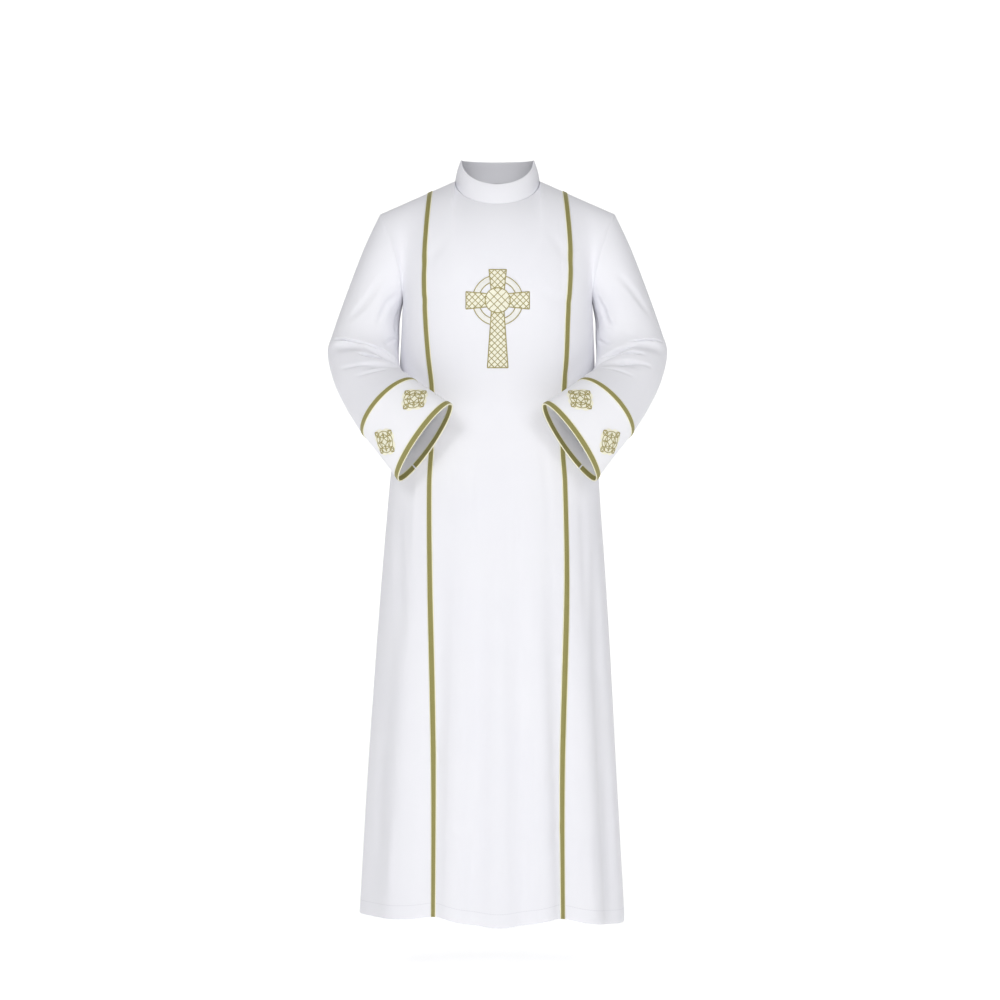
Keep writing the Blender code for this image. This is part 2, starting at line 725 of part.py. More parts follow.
def make_cross(front_panel, material):
    """A ring cross with flared arms, laid over the chest and following it."""
    shaft = [(-CROSS_FLARE, CROSS_TOP), (CROSS_FLARE, CROSS_TOP), (CROSS_WAIST, 0.0),
             (CROSS_FOOT_FLARE, -CROSS_FOOT), (-CROSS_FOOT_FLARE, -CROSS_FOOT), (-CROSS_WAIST, 0.0)]
    arms = [(-CROSS_SIDE, CROSS_FLARE), (0.0, CROSS_WAIST), (CROSS_SIDE, CROSS_FLARE),
            (CROSS_SIDE, -CROSS_FLARE), (0.0, -CROSS_WAIST), (-CROSS_SIDE, -CROSS_FLARE)]
    body = plate(circle(CROSS_RING), CROSS_THICK)
    hole = plate(circle(CROSS_RING_INNER), 3 * CROSS_THICK)
    hole.location.y = CROSS_THICK
    bpy.context.view_layer.update()
    combine(body, [hole], "DIFFERENCE")
    combine(body, [plate(shaft, CROSS_THICK), plate(arms, CROSS_THICK),
                   plate(circle(CROSS_CENTRE), CROSS_THICK)], "UNION")
    build = bmesh.new()
    build.from_mesh(body.data)
    bpy.data.objects.remove(body)
    levels = round((CROSS_FOOT + CROSS_TOP) / CROSS_CUT)
    cuts = [((0.0, 0.0, mix(-CROSS_FOOT, CROSS_TOP, i / levels)), (0.0, 0.0, 1.0)) for i in range(1, levels)]
    reach = int(CROSS_SIDE / CROSS_CUT)
    cuts += [((i * CROSS_CUT, 0.0, 0.0), (1.0, 0.0, 0.0)) for i in range(-reach, reach + 1)]
    for place, direction in cuts:
        cut_faces(build, build.faces, place, direction)
    bmesh.ops.remove_doubles(build, verts=build.verts, dist=WELD)
    bmesh.ops.triangulate(build, faces=build.faces)
    tree = BVHTree.FromObject(front_panel, bpy.context.evaluated_depsgraph_get())
    for vert in build.verts:
        x, z = vert.co.x + CROSS_X, vert.co.z + CROSS_HEIGHT
        ahead = Vector((x, -2 * SECTIONS[-1].front, z))
        hit = tree.ray_cast(ahead, Vector((0.0, 1.0, 0.0)))[0]
        vert.co = Vector((x, hit.y - CROSS_GAP + vert.co.y, z))
    return add_object("chest_cross", build, material)


def cuff_place(grid, normals, around, along):
    """A point on the cuff's facets and its outward direction, from shares round and along the cuff."""
    count, rows = len(grid[0]), len(grid) - 1
    tall = [0.0]
    for r in range(rows):
        tall.append(tall[-1] + (grid[r + 1][0] - grid[r][0]).length)
    wanted = along * tall[-1]
    r = 0
    while r < rows - 1 and tall[r + 1] < wanted:
        r += 1
    v = (wanted - tall[r]) / (tall[r + 1] - tall[r])
    u = around * count
    c = int(u) % count
    u -= int(u)
    d = (c + 1) % count
    corners = (grid[r][c], grid[r][d], grid[r + 1][c], grid[r + 1][d])
    ways = (normals[r][c], normals[r][d], normals[r + 1][c], normals[r + 1][d])
    if u >= v:
        weights = (1 - u, u - v, 0.0, v)
    else:
        weights = (1 - v, 0.0, v - u, u)
    point = Vector((0.0, 0.0, 0.0))
    way = Vector((0.0, 0.0, 0.0))
    for weight, corner, direction in zip(weights, corners, ways):
        point += corner * weight
        way += direction * weight
    return point, way.normalized()


def cut_faces(build, faces, place, direction):
    """Cuts these faces along a plane."""
    cut = list(faces)
    cut += list({edge for face in faces for edge in face.edges})
    cut += list({vert for face in faces for vert in face.verts})
    way = Vector(direction).normalized()
    bmesh.ops.bisect_plane(build, geom=cut, dist=PLANE_REACH, plane_co=place, plane_no=way)


def make_roundel(name, grid, normals, around, material):
    """Thick embroidery with a lobed outline, following the cuff."""
    count = len(grid[0])
    girth = sum((grid[0][i] - grid[0][i - 1]).length for i in range(count))
    tall = (grid[-1][0] - grid[0][0]).length
    centre = around * count
    first = int(centre - ROUNDEL_RADIUS / girth * count)
    last = int(centre + ROUNDEL_RADIUS / girth * count) + 1
    build = bmesh.new()
    outline = []
    for i in range(ROUNDEL_SIDES):
        angle = 2 * pi * i / ROUNDEL_SIDES
        radius = ROUNDEL_RADIUS * (1 - ROUNDEL_LOBE + ROUNDEL_LOBE * abs(sin(2 * angle)))
        u = centre + radius * cos(angle) / girth * count
        outline.append((u, ROUNDEL_ALONG + radius * sin(angle) / tall))
    build.faces.new([build.verts.new((u, v, 0.0)) for u, v in outline])
    shares = [(grid[r][0] - grid[0][0]).length / tall for r in range(len(grid))]
    lines = [((u, 0.0, 0.0), (1.0, 0.0, 0.0)) for u in range(first, last + 1)]
    lines += [((0.0, share, 0.0), (0.0, 1.0, 0.0)) for share in shares[1:-1]]
    for place, direction in lines:
        cut_faces(build, build.faces, place, direction)
    for low, high in zip(shares, shares[1:]):
        for u in range(first, last):
            cell = [f for f in build.faces
                    if u < f.calc_center_median().x < u + 1 and low < f.calc_center_median().y < high]
            cut_faces(build, cell, (u, low, 0.0), (high - low, -1.0, 0.0))
    bmesh.ops.dissolve_degenerate(build, edges=build.edges, dist=SLIVER)
    bmesh.ops.triangulate(build, faces=build.faces)
    lower = list(build.faces)
    grown = bmesh.ops.extrude_face_region(build, geom=lower, use_keep_orig=True)
    upper = {v for v in grown["geom"] if isinstance(v, bmesh.types.BMVert)}
    for vert in build.verts:
        point, way = cuff_place(grid, normals, vert.co.x / count % 1.0, vert.co.y)
        lift = LAID_GAP + (ROUNDEL_THICK if vert in upper else 0.0)
        vert.co = point + way * lift
    return add_object(name, build, material)


def match_armhole(sheet, out, column, beside, sleeve, sleeve_out, place):
    """Mitres the body's armhole edge with the sleeve where their seam stands out."""
    for row in range(1, ROWS_TO_UNDERARM):
        seam = (sheet[row + 1][column] - sheet[row - 1][column]).normalized()
        into_body = (sheet[row][beside] - sheet[row][column]).normalized()
        into_sleeve = (sleeve[1][place(row)] - sleeve[0][place(row)]).normalized()
        apart = into_body - into_sleeve
        share_at_ridge((out, row, column), (sleeve_out, 0, place(row)), apart - seam * apart.dot(seam))


def match_seams(front, front_out, back, back_out, sleeves, sleeve_out):
    """Gives the panels and sleeves the same directions along their seams."""
    round_sleeve = 2 * ROWS_TO_UNDERARM
    last, back_last = len(front[0]) - 1, len(back[0]) - 1
    for row in range(ROWS_TO_UNDERARM, len(front)):
        share_normals([(front_out, row, last), (back_out, row, 0)])
        share_normals([(front_out, row, 0), (back_out, row, back_last)])
    for sheet, out in ((front, front_out), (back, back_out)):
        for column, point in enumerate(sheet[0]):
            if abs(point.x) > NECK_HALF_WIDTH - SEAM_GAP:
                lean = SHOULDER_SLOPE if point.x > 0 else -SHOULDER_SLOPE
                out[0][column] = Vector((lean, 0.0, 1.0)).normalized()
    for side, column, beside in ((-1, 0, 1), (1, last, last - 1)):
        match_armhole(front, front_out, column, beside, sleeves[side][0], sleeve_out[side], lambda row: row)
    for side, column, beside in ((1, 0, 1), (-1, back_last, back_last - 1)):
        match_armhole(back, back_out, column, beside, sleeves[side][0], sleeve_out[side],
                      lambda row: round_sleeve - row)
    share_normals([(front_out, 0, 0), (back_out, 0, back_last), (sleeve_out[-1], 0, 0)])
    share_normals([(front_out, 0, last), (back_out, 0, 0), (sleeve_out[1], 0, 0)])


def make_body(cloth, braid, thread):
    """The panels, collar, front braids and cross; returns what the sleeves need to meet them."""
    left, middle, right = side_columns(-1)[::-1], front_columns(), side_columns(1)
    left_seam = len(left) - 1
    right_seam = left_seam + len(middle) - 1
    front = rows_from(left + middle[1:] + right[1:])
    back = rows_from(back_columns(1) + back_columns(-1)[::-1][1:])
    front_out, back_out = grid_normals(front, False), grid_normals(back, False)
    sleeves = {side: sleeve_grid(side) for side in (-1, 1)}
    sleeve_out = {side: grid_normals(grid + cuff[1:], True, -side) for side, (grid, cuff) in sleeves.items()}
    match_seams(front, front_out, back, back_out, sleeves, sleeve_out)
    last, back_last = len(front[0]) - 1, len(back[0]) - 1
    centre_back = back_last // 2
    panels = (
        ("side_front_left", front, front_out, 0, left_seam),
        ("front_panel", front, front_out, left_seam, right_seam),
        ("side_front_right", front, front_out, right_seam, last),
        ("back_right", back, back_out, 0, centre_back),
        ("back_left", back, back_out, centre_back, back_last),
    )
    made = {}
    for name, sheet, out, start, end in panels:
        points, ways = split_columns(sheet, start, end), split_columns(out, start, end)
        made[name] = make_wall(name, points, ways, 0.0, CLOTH, cloth, bottom=False)
    for name, seam in (("front_braid_left", left_seam), ("front_braid_right", right_seam)):
        points, ways = split_columns(front, seam - 1, seam + 1), split_columns(front_out, seam - 1, seam + 1)
        make_strip(name, points, ways, braid)
    base = [neck_point(mix(-pi, pi, c / (2 * NECK_STEPS))) for c in range(2 * NECK_STEPS + 1)]
    collar = collar_grid(base)
    make_wall("collar", collar, grid_normals(collar, False), 0.0, COLLAR_CLOTH, cloth, top=False)
    make_cross(made["front_panel"], thread)
    return sleeves, sleeve_out


def make_sleeve(side, grids, out, cloth, cuff_cloth, braid, thread):
    """A sleeve with its cuff, the cuff's two braids and its roundels."""
    name = "right" if side > 0 else "left"
    sleeve, cuff = grids
    seam = len(sleeve) - 1
    cuff_out = out[seam:]
    make_wall("sleeve_" + name, sleeve, out[:seam + 1], 0.0, CLOTH, cloth, closed=True)
    make_wall("cuff_" + name, cuff, cuff_out, 0.0, CLOTH, cuff_cloth, closed=True, bottom=False)
    make_strip("cuff_upper_braid_" + name, cuff[:2], cuff_out[:2], braid, closed=True)
    make_binding("cuff_edge_braid_" + name, cuff, cuff_out, braid)
    for number, around in enumerate(ROUNDEL_PLACES, 1):
        make_roundel(f"cuff_roundel_{name}_{number}", cuff, cuff_out, around, thread)


def main():
    clear_scene()
    cloth = make_material("white_cloth", CLOTH_LOOK)
    cuff_cloth = make_material("cuff_cloth", CUFF_LOOK)
    braid = make_material("olive_braid", BRAID_LOOK)
    thread = make_material("gold_thread", THREAD_LOOK)
    sleeves, sleeve_out = make_body(cloth, braid, thread)
    for side in (-1, 1):
        make_sleeve(side, sleeves[side], sleeve_out[side], cloth, cuff_cloth, braid, thread)
    held = bpy.data.objects.new("held_at_shoulders", None)
    bpy.context.collection.objects.link(held)
    for item in bpy.data.objects:
        if item.type == "MESH":
            item.parent = held


main()
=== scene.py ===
# A white robe with a stand collar, wide sleeves, olive braid and gold embroidery.
# Metres, the front faces -Y. It keeps its own hollow form.
import math
import bmesh
import bpy
import numpy as np
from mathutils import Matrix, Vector
from mathutils.bvhtree import BVHTree


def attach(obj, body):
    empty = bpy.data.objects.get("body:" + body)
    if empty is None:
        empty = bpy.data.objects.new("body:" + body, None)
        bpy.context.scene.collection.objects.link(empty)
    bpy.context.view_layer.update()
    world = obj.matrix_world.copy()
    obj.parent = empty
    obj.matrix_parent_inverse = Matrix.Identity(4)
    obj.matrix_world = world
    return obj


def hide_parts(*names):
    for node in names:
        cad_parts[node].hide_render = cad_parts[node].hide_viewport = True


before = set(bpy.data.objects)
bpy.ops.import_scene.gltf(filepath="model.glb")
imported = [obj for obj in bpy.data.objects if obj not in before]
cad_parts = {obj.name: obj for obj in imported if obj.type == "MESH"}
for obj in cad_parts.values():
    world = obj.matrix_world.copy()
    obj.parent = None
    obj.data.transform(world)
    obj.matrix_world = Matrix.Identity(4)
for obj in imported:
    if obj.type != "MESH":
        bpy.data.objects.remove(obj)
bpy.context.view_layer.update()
print("frame loaded")


# Tables and smooth curves

def table(names, rows):
    return dict(zip(names.split(), np.array(rows, float).T))


def mix(a, b, share):
    return a + (b - a) * share


def curveThrough(keys, spans, share):
    before, start, end, after = keys
    left, run, right = spans
    slopeStart = (end - before) / (left + run) * run
    slopeEnd = (after - start) / (run + right) * run
    s2, s3 = share ** 2, share ** 3
    value = start * (2 * s3 - 3 * s2 + 1) + end * (3 * s2 - 2 * s3)
    return value + slopeStart * (s3 - 2 * s2 + share) + slopeEnd * (s3 - s2)


def readTable(rows, key, column, at):
    keys, values = rows[key], rows[column]
    if keys[0] > keys[-1]:
        keys, values = keys[::-1], values[::-1]
    at = np.clip(at, keys[0], keys[-1])
    i = np.clip(np.searchsorted(keys, at) - 1, 0, len(keys) - 2)
    longKeys = np.concatenate([[2 * keys[0] - keys[1]], keys, [2 * keys[-1] - keys[-2]]])
    longValues = np.concatenate([[2 * values[0] - values[1]], values, [2 * values[-1] - values[-2]]])
    spans = [longKeys[i + k + 1] - longKeys[i + k] for k in range(3)]
    return curveThrough([longValues[i + k] for k in range(4)], spans, (at - keys[i]) / spans[1])


def softStep(value):
    value = np.clip(value, 0, 1)
    return value * value * (3 - 2 * value)


def softBump(distance):
    return np.where(np.abs(distance) < 1, 0.5 + 0.5 * np.cos(np.pi * np.clip(distance, -1, 1)), 0.0)


def lengthOf(vectors):
    return np.linalg.norm(vectors, axis=-1, keepdims=True)


def distanceAlong(line):
    return np.concatenate([[0], np.cumsum(lengthOf(np.diff(line, axis=0))[:, 0])])


def fromEnds(count):
    return np.minimum(np.arange(count), np.arange(count)[::-1])


def circleAt(turns):
    return np.stack([np.cos(turns), np.sin(turns)], -1)


def handOf(side):
    return "right" if side > 0 else "left"


creaseFade = 0.35  # share of a crease over which each end fades


def creaseDepth(a, b, rows, girth=None):
    # each crease is a bowed line from (a0, b0) to (a1, b1) that fades at both ends
    total = np.zeros_like(a)
    for a0, b0, a1, b1, width, depth, bow in zip(*rows.values()):
        da, db = a1 - a0, b1 - b0
        run = math.hypot(da, db)
        offA, offB = a - a0, b - b0
        if girth:
            offB = (offB + girth / 2) % girth - girth / 2
        t = (offA * da + offB * db) / run ** 2
        across = (offA * db - offB * da) / run - bow * 4 * t * (1 - t)
        ends = softStep(t / creaseFade) * softStep((1 - t) / creaseFade)
        total += depth * ends * softBump(across / width)
    return total


# The body: sections down the robe, then the columns of each panel

body = {
    "cloth": 0.0012,
    "rowsToUnderarm": 40, "rowsToHem": 150, "calmColumns": 6,
    "neckSteps": 48, "shoulderSteps": 8, "sideSteps": 36, "backShoulderSteps": 32,
    "neckHalfWidth": 0.0825, "neckFront": 0.075, "neckBack": 0.068,
    "neckSideHeight": 0.0115, "neckFrontHeight": -0.041, "neckBackHeight": 0.018, "necklineCurve": 1.05,
    "shoulderX": 0.2285, "shoulderSlope": 0.444, "seamY": 0.004,
    "chestRise": math.radians(58), "backRise": math.radians(64), "shoulderRise": math.radians(88),
    "underarmHeight": -0.225, "armholeFront": 0.062, "armholeBack": 0.060, "armholeCutIn": 0.010,
    "backPullEnd": 0.714,
    "sections": table("height left right front back squareness", [
        (-0.225, 0.1840, 0.1840, 0.128, 0.118, 2.5),
        (-0.307, 0.1875, 0.1875, 0.130, 0.113, 2.5),
        (-0.453, 0.1965, 0.1925, 0.136, 0.117, 2.4),
        (-0.576, 0.2090, 0.1975, 0.147, 0.130, 2.3),
        (-0.750, 0.2240, 0.2095, 0.160, 0.154, 2.2),
        (-0.940, 0.2385, 0.2210, 0.173, 0.174, 2.15),
        (-1.150, 0.2530, 0.2320, 0.186, 0.192, 2.1),
        (-1.408, 0.2680, 0.2465, 0.200, 0.212, 2.1)]),
    "braidLines": table("height left right", [
        (-0.010, 0.1307, 0.1307),
        (-0.111, 0.1378, 0.1383),
        (-0.177, 0.1398, 0.1392),
        (-0.259, 0.1373, 0.1341),
        (-0.329, 0.1322, 0.1316),
        (-0.402, 0.1245, 0.1264),
        (-0.508, 0.1253, 0.1235),
        (-0.577, 0.1290, 0.1280),
        (-0.747, 0.1280, 0.1310),
        (-0.936, 0.1260, 0.1288),
        (-1.124, 0.1249, 0.1265),
        (-1.400, 0.1252, 0.1275)]),
    "hem": table("angle height", [
        (-180, -1.405), (-130, -1.404), (-90, -1.408), (-60, -1.402), (-45, -1.398), (-33, -1.392),
        (-15, -1.404), (0, -1.409), (15, -1.405), (34, -1.396), (48, -1.408), (70, -1.420),
        (90, -1.424), (130, -1.415), (180, -1.405)]),
    "folds": table("angle reach depth start full", [
        (1, 9, 0.005, -0.52, -1.00),
        (-12, 9, -0.006, -0.56, -1.10),
        (14, 9, -0.006, -0.58, -1.15),
        (-23, 9, 0.006, -0.60, -1.20),
        (25, 9, 0.006, -0.62, -1.10),
        (-36, 9, -0.008, -0.50, -1.20),
        (37, 9, -0.008, -0.50, -1.25),
        (-53, 13, 0.010, -0.55, -1.10),
        (52, 11, 0.009, -0.60, -1.15),
        (66, 10, -0.008, -0.60, -1.25),
        (-72, 12, -0.005, -0.70, -1.30),
        (112, 15, -0.012, -0.50, -1.15),
        (-109, 14, -0.011, -0.45, -1.10),
        (132, 14, 0.012, -0.45, -1.20),
        (-130, 15, 0.012, -0.50, -1.15),
        (151, 13, -0.013, -0.40, -1.10),
        (-150, 14, -0.013, -0.42, -1.15),
        (167, 11, 0.010, -0.50, -1.20),
        (-166, 11, 0.010, -0.45, -1.15)]),
    # soft troughs (depth over 0) and ridges (under 0) pressed into the front, as x and height
    "frontCreases": table("x0 z0 x1 z1 width depth bow", [
        (-0.165, -0.185, -0.085, -0.085, 0.016, 0.0016, 0.006),
        (0.168, -0.180, 0.090, -0.080, 0.015, 0.0015, -0.006),
        (-0.172, -0.235, -0.060, -0.190, 0.014, 0.0014, 0.008),
        (0.170, -0.240, 0.066, -0.200, 0.014, 0.0013, -0.008),
        (-0.176, -0.330, -0.120, -0.400, 0.013, 0.0016, 0.004),
        (0.178, -0.315, 0.118, -0.385, 0.014, 0.0018, -0.004),
        (-0.180, -0.400, -0.110, -0.470, 0.012, 0.0014, -0.003),
        (0.176, -0.410, 0.120, -0.455, 0.012, 0.0012, 0.003),
        (-0.098, -0.470, -0.074, -0.660, 0.013, 0.0014, 0.003),
        (0.082, -0.480, 0.100, -0.700, 0.013, 0.0014, -0.003),
        (-0.040, -0.500, -0.052, -0.760, 0.012, 0.0012, 0.002),
        (0.046, -0.560, 0.036, -0.860, 0.012, 0.0012, 0.002),
        (-0.190, -0.560, -0.176, -0.930, 0.016, 0.0024, 0.004),
        (-0.155, -0.520, -0.160, -0.760, 0.011, -0.0016, 0.002),
        (0.158, -0.560, 0.166, -0.880, 0.013, 0.0022, -0.004),
        (0.186, -0.640, 0.196, -1.050, 0.015, 0.0024, 0.003),
        (-0.098, -1.226, -0.072, -1.257, 0.010, 0.0017, 0.003),
        (-0.112, -1.050, -0.108, -1.130, 0.008, 0.0014, 0.002),
        (0.110, -1.100, 0.084, -1.146, 0.010, 0.0017, -0.003),
        (0.118, -1.205, 0.098, -1.262, 0.010, 0.0016, -0.003),
        (-0.218, -1.030, -0.226, -1.360, 0.014, 0.0026, 0.003),
        (-0.196, -1.180, -0.204, -1.398, 0.013, -0.0022, 0.002),
        (0.204, -1.080, 0.212, -1.400, 0.014, 0.0024, -0.003),
        (0.176, -1.220, 0.180, -1.400, 0.012, -0.0020, 0.002)]),
    "backCreases": table("x0 z0 x1 z1 width depth bow", [
        (-0.168, -0.190, -0.080, -0.100, 0.017, 0.0018, -0.008),
        (0.166, -0.186, 0.084, -0.096, 0.016, 0.0018, 0.008),
        (-0.172, -0.250, -0.050, -0.215, 0.015, 0.0018, -0.010),
        (0.170, -0.256, 0.058, -0.226, 0.016, 0.0017, 0.010),
        (-0.166, -0.335, -0.030, -0.330, 0.017, 0.0019, -0.012),
        (0.168, -0.350, 0.026, -0.352, 0.017, 0.0020, 0.012),
        (-0.160, -0.420, -0.060, -0.452, 0.015, 0.0016, -0.008),
        (0.160, -0.430, 0.052, -0.470, 0.015, 0.0016, 0.008),
        (-0.090, -0.480, -0.118, -0.840, 0.018, 0.0026, 0.006),
        (0.094, -0.500, 0.112, -0.900, 0.018, 0.0026, -0.006),
        (-0.030, -0.540, -0.040, -0.980, 0.016, 0.0022, -0.004),
        (0.038, -0.600, 0.046, -1.020, 0.016, 0.0022, 0.004),
        (-0.160, -0.640, -0.184, -1.080, 0.018, 0.0026, 0.005),
        (0.158, -0.700, 0.176, -1.120, 0.018, 0.0026, -0.005),
        (-0.075, -1.100, -0.082, -1.390, 0.015, 0.0024, 0.004),
        (0.080, -1.060, 0.090, -1.390, 0.015, 0.0024, -0.004),
        (-0.200, -1.120, -0.206, -1.395, 0.015, 0.0022, 0.003),
        (0.188, -1.160, 0.196, -1.395, 0.015, 0.0022, -0.003)]),
    "frontPanelCut": (0.33, 1.42, 0.385),
    "sideFrontCut": (0.25, 1.44, 0.235),
    "backCut": (0.42, 1.44, 0.43),
}


def sectionAt(column, height):
    return readTable(body["sections"], "height", column, height)


def sectionRadius(height, angle):
    side = np.where(angle >= 0, sectionAt("right", height), sectionAt("left", height))
    depth = np.where(np.abs(angle) <= np.pi / 2, sectionAt("front", height), sectionAt("back", height))
    power = sectionAt("squareness", height)
    return (np.abs(np.sin(angle) / side) ** power + np.abs(np.cos(angle) / depth) ** power) ** (-1 / power)


def foldDepth(height, angle):
    total = 0.0
    for foldAngle, reach, depth, start, full in zip(*body["folds"].values()):
        away = (angle - np.radians(foldAngle) + np.pi) % (2 * np.pi) - np.pi
        total = total + depth * softStep((height - start) / (full - start)) * softBump(away / np.radians(reach))
    return total


def bodyPoint(height, angle):
    radius = sectionRadius(height, angle) + foldDepth(height, angle)
    return np.stack(np.broadcast_arrays(radius * np.sin(angle), -radius * np.cos(angle), height), -1)


def hemHeight(angle):
    return readTable(body["hem"], "angle", "height", np.degrees(angle))


def braidX(height, side):
    return side * readTable(body["braidLines"], "height", handOf(side), height)


def braidAngle(height, side, shift=0.0):
    x = np.abs(braidX(height, side)) + shift
    half, depth, power = (sectionAt(column, height) for column in (handOf(side), "front", "squareness"))
    return side * np.arctan2(x, depth * (1 - (x / half) ** power) ** (1 / power))


def shoulderPoint(x):
    drop = body["shoulderSlope"] * (abs(x) - body["neckHalfWidth"])
    return np.array((x, body["seamY"], body["neckSideHeight"] - drop))


def neckPoint(angle):
    turn = 1 - abs(math.cos(angle))
    front = abs(angle) <= math.pi / 2
    depth = body["neckFront"] if front else body["neckBack"]
    end = body["neckFrontHeight"] if front else body["neckBackHeight"]
    height = mix(end, body["neckSideHeight"], turn ** body["necklineCurve"])
    return np.array((body["neckHalfWidth"] * math.sin(angle), body["seamY"] * turn - depth * math.cos(angle), height))


def armholePoint(side, share, face):
    turn = np.pi * np.asarray(share, float)
    half = body["sections"][handOf(side)][0]
    top = shoulderPoint(side * body["shoulderX"])
    foot = np.array((side * half, 0.0, body["underarmHeight"]))
    point = top + (foot - top) * (0.5 - 0.5 * np.cos(turn))[..., None]
    point[..., 1] += body["armholeFront" if face < 0 else "armholeBack"] * face * np.sin(turn)
    point[..., 0] -= side * body["armholeCutIn"] * np.sin(turn) ** 2
    return point


def yokePoint(top, foot, rise, share):
    turn = rise * (1 - share)
    out = (np.cos(turn) - math.cos(rise)) / (1 - math.cos(rise))
    down = 1 - np.sin(turn) / math.sin(rise)
    return np.stack([mix(top[0], foot[0], down), mix(top[1], foot[1], out), mix(top[2], foot[2], down)], -1)


def columnPoints(top, rise, angleAt, armhole=None, pull=0.0):
    under = body["underarmHeight"]
    foot = bodyPoint(under, angleAt(under))
    share = np.arange(body["rowsToUnderarm"]) / body["rowsToUnderarm"]
    upper = yokePoint(top, foot, rise, share)
    if armhole:
        plain = yokePoint(armhole(0.0), armhole(1.0), body["shoulderRise"], share)
        upper += (armhole(share) - plain) * pull
    share = np.arange(body["rowsToHem"] + 1) / body["rowsToHem"]
    angle = angleAt(mix(under, body["hem"]["height"][0], share)) * np.ones_like(share)
    return np.concatenate([upper, bodyPoint(mix(under, hemHeight(angle), share), angle)])


def braidColumn(side, shift):
    top = shoulderPoint(side * (body["braidLines"]["right"][0] + shift))
    column = columnPoints(top, body["shoulderRise"], lambda height: braidAngle(height, side, shift))
    upper = slice(1, body["rowsToUnderarm"])
    column[upper, 0] = braidX(column[upper, 2], side) + side * shift
    return column


braid = {
    "width": 0.011, "thick": 0.0010, "gap": 0.0002, "edge": 0.0013,
    "steps": 10, "dome": 0.0004, "bindingEndGap": 0.003, "bindingSeam": 0.90, "bindingLines": 7,
    "bindingMiddle": 0.7, "bindingWall": 0.6, "edgeDrop": 0.45,  # shares of the thickness
}


def frontColumns():
    half = braid["width"] / 2
    edge = body["braidLines"]["right"][0] - half
    steps = body["shoulderSteps"]
    shoulder = [mix(edge, body["neckHalfWidth"], step / steps) for step in range(1, steps + 1)]
    tops = [(shoulderPoint(-x), body["shoulderRise"]) for x in shoulder]
    for step in range(1, body["neckSteps"]):
        angle = mix(-math.pi / 2, math.pi / 2, step / body["neckSteps"])
        tops.append((neckPoint(angle), mix(body["shoulderRise"], body["chestRise"], math.cos(angle))))
    tops += [(shoulderPoint(x), body["shoulderRise"]) for x in reversed(shoulder)]
    columns = [braidColumn(-1, 0.0), braidColumn(-1, -half)]
    for number, (top, rise) in enumerate(tops, 1):
        share = number / (len(tops) + 1)
        columns.append(columnPoints(top, rise, lambda height: mix(
            braidAngle(height, -1, -half), braidAngle(height, 1, -half), share)))
    return columns + [braidColumn(1, -half), braidColumn(1, 0.0)]


def sideColumns(side):
    half = braid["width"] / 2
    edge = body["braidLines"]["right"][0] + half
    columns = [braidColumn(side, 0.0), braidColumn(side, half)]
    for step in range(1, body["sideSteps"] + 1):
        share = step / body["sideSteps"]
        top = shoulderPoint(side * mix(edge, body["shoulderX"], share))
        columns.append(columnPoints(
            top, body["shoulderRise"], lambda height: mix(braidAngle(height, side, half), side * math.pi / 2, share),
            lambda at: armholePoint(side, at, -1), share * share))
    return columns


def backColumns(side):
    columns = []
    neckSteps, shoulderSteps = body["neckSteps"] // 2, body["backShoulderSteps"]
    for step in range(neckSteps + shoulderSteps + 1):
        share = step / (neckSteps + shoulderSteps)
        if step <= shoulderSteps:
            top = shoulderPoint(side * mix(body["shoulderX"], body["neckHalfWidth"], step / shoulderSteps))
            rise = body["shoulderRise"]
        else:
            turn = mix(math.pi / 2, math.pi, (step - shoulderSteps) / neckSteps)
            top = neckPoint(side * turn)
            rise = mix(body["shoulderRise"], body["backRise"], -math.cos(turn))
        pull = max(0.0, 1 - share / body["backPullEnd"])
        columns.append(columnPoints(
            top, rise, lambda height: side * mix(math.pi / 2, math.pi, share) * np.ones_like(height),
            lambda at: armholePoint(side, at, 1), pull * pull))
    return columns


# Sheets of cloth: a grid of points with the outward way at each

def gridNormals(grid, closed=False):
    padded = np.concatenate([grid[:1], grid, grid[-1:]])
    down = padded[2:] - padded[:-2]
    if closed:
        across = np.roll(grid, -1, 1) - np.roll(grid, 1, 1)
    else:
        padded = np.concatenate([grid[:, :1], grid, grid[:, -1:]], 1)
        across = padded[:, 2:] - padded[:, :-2]
    normals = np.cross(down, across)
    return normals / np.maximum(lengthOf(normals), 1e-12)


def sheetOf(points, normals, thick, lift=0.0):
    flat = np.zeros(points.shape[:2])
    return {"points": points, "normals": normals, "outer": flat - lift, "inner": flat - lift + thick}


def turned(values, edge, back=False):
    # brings an edge to the first row, or puts it back
    sideways, last = edge in ("left", "right"), edge in ("bottom", "right")
    if back:
        values = values[::-1] if last else values
        return values.swapaxes(0, 1) if sideways else values
    values = values.swapaxes(0, 1) if sideways else values
    return values[::-1] if last else values


def addEdgeLines(sheet, edge, distances, outer, inner):
    # new lines of points beside an edge, with the wall's two faces at these depths
    points, normals = turned(sheet["points"], edge), turned(sheet["normals"], edge)
    way = (points[1] - points[0]) / lengthOf(points[1] - points[0])
    lines = np.stack([points[0] + way * distance for distance in distances])
    sheet["points"] = turned(np.concatenate([lines, points[1:]]), edge, True)
    sheet["normals"] = turned(np.concatenate([np.repeat(normals[:1], len(distances), 0), normals[1:]]), edge, True)
    for key, depths in (("outer", outer), ("inner", inner)):
        values = turned(sheet[key], edge)
        lines = values[0] + np.array(depths)[:, None]
        sheet[key] = turned(np.concatenate([lines, values[1:]]), edge, True)


edgeForm = {
    "seam": ((-0.0003, 0.0005, 0.0020), (0.0007, 0.0002, 0.0), (-0.00015, 0.0, 0.0)),
    "roundShares": np.array((0.0, 0.15, 0.45, 1.0)), "roundness": 0.96,
}


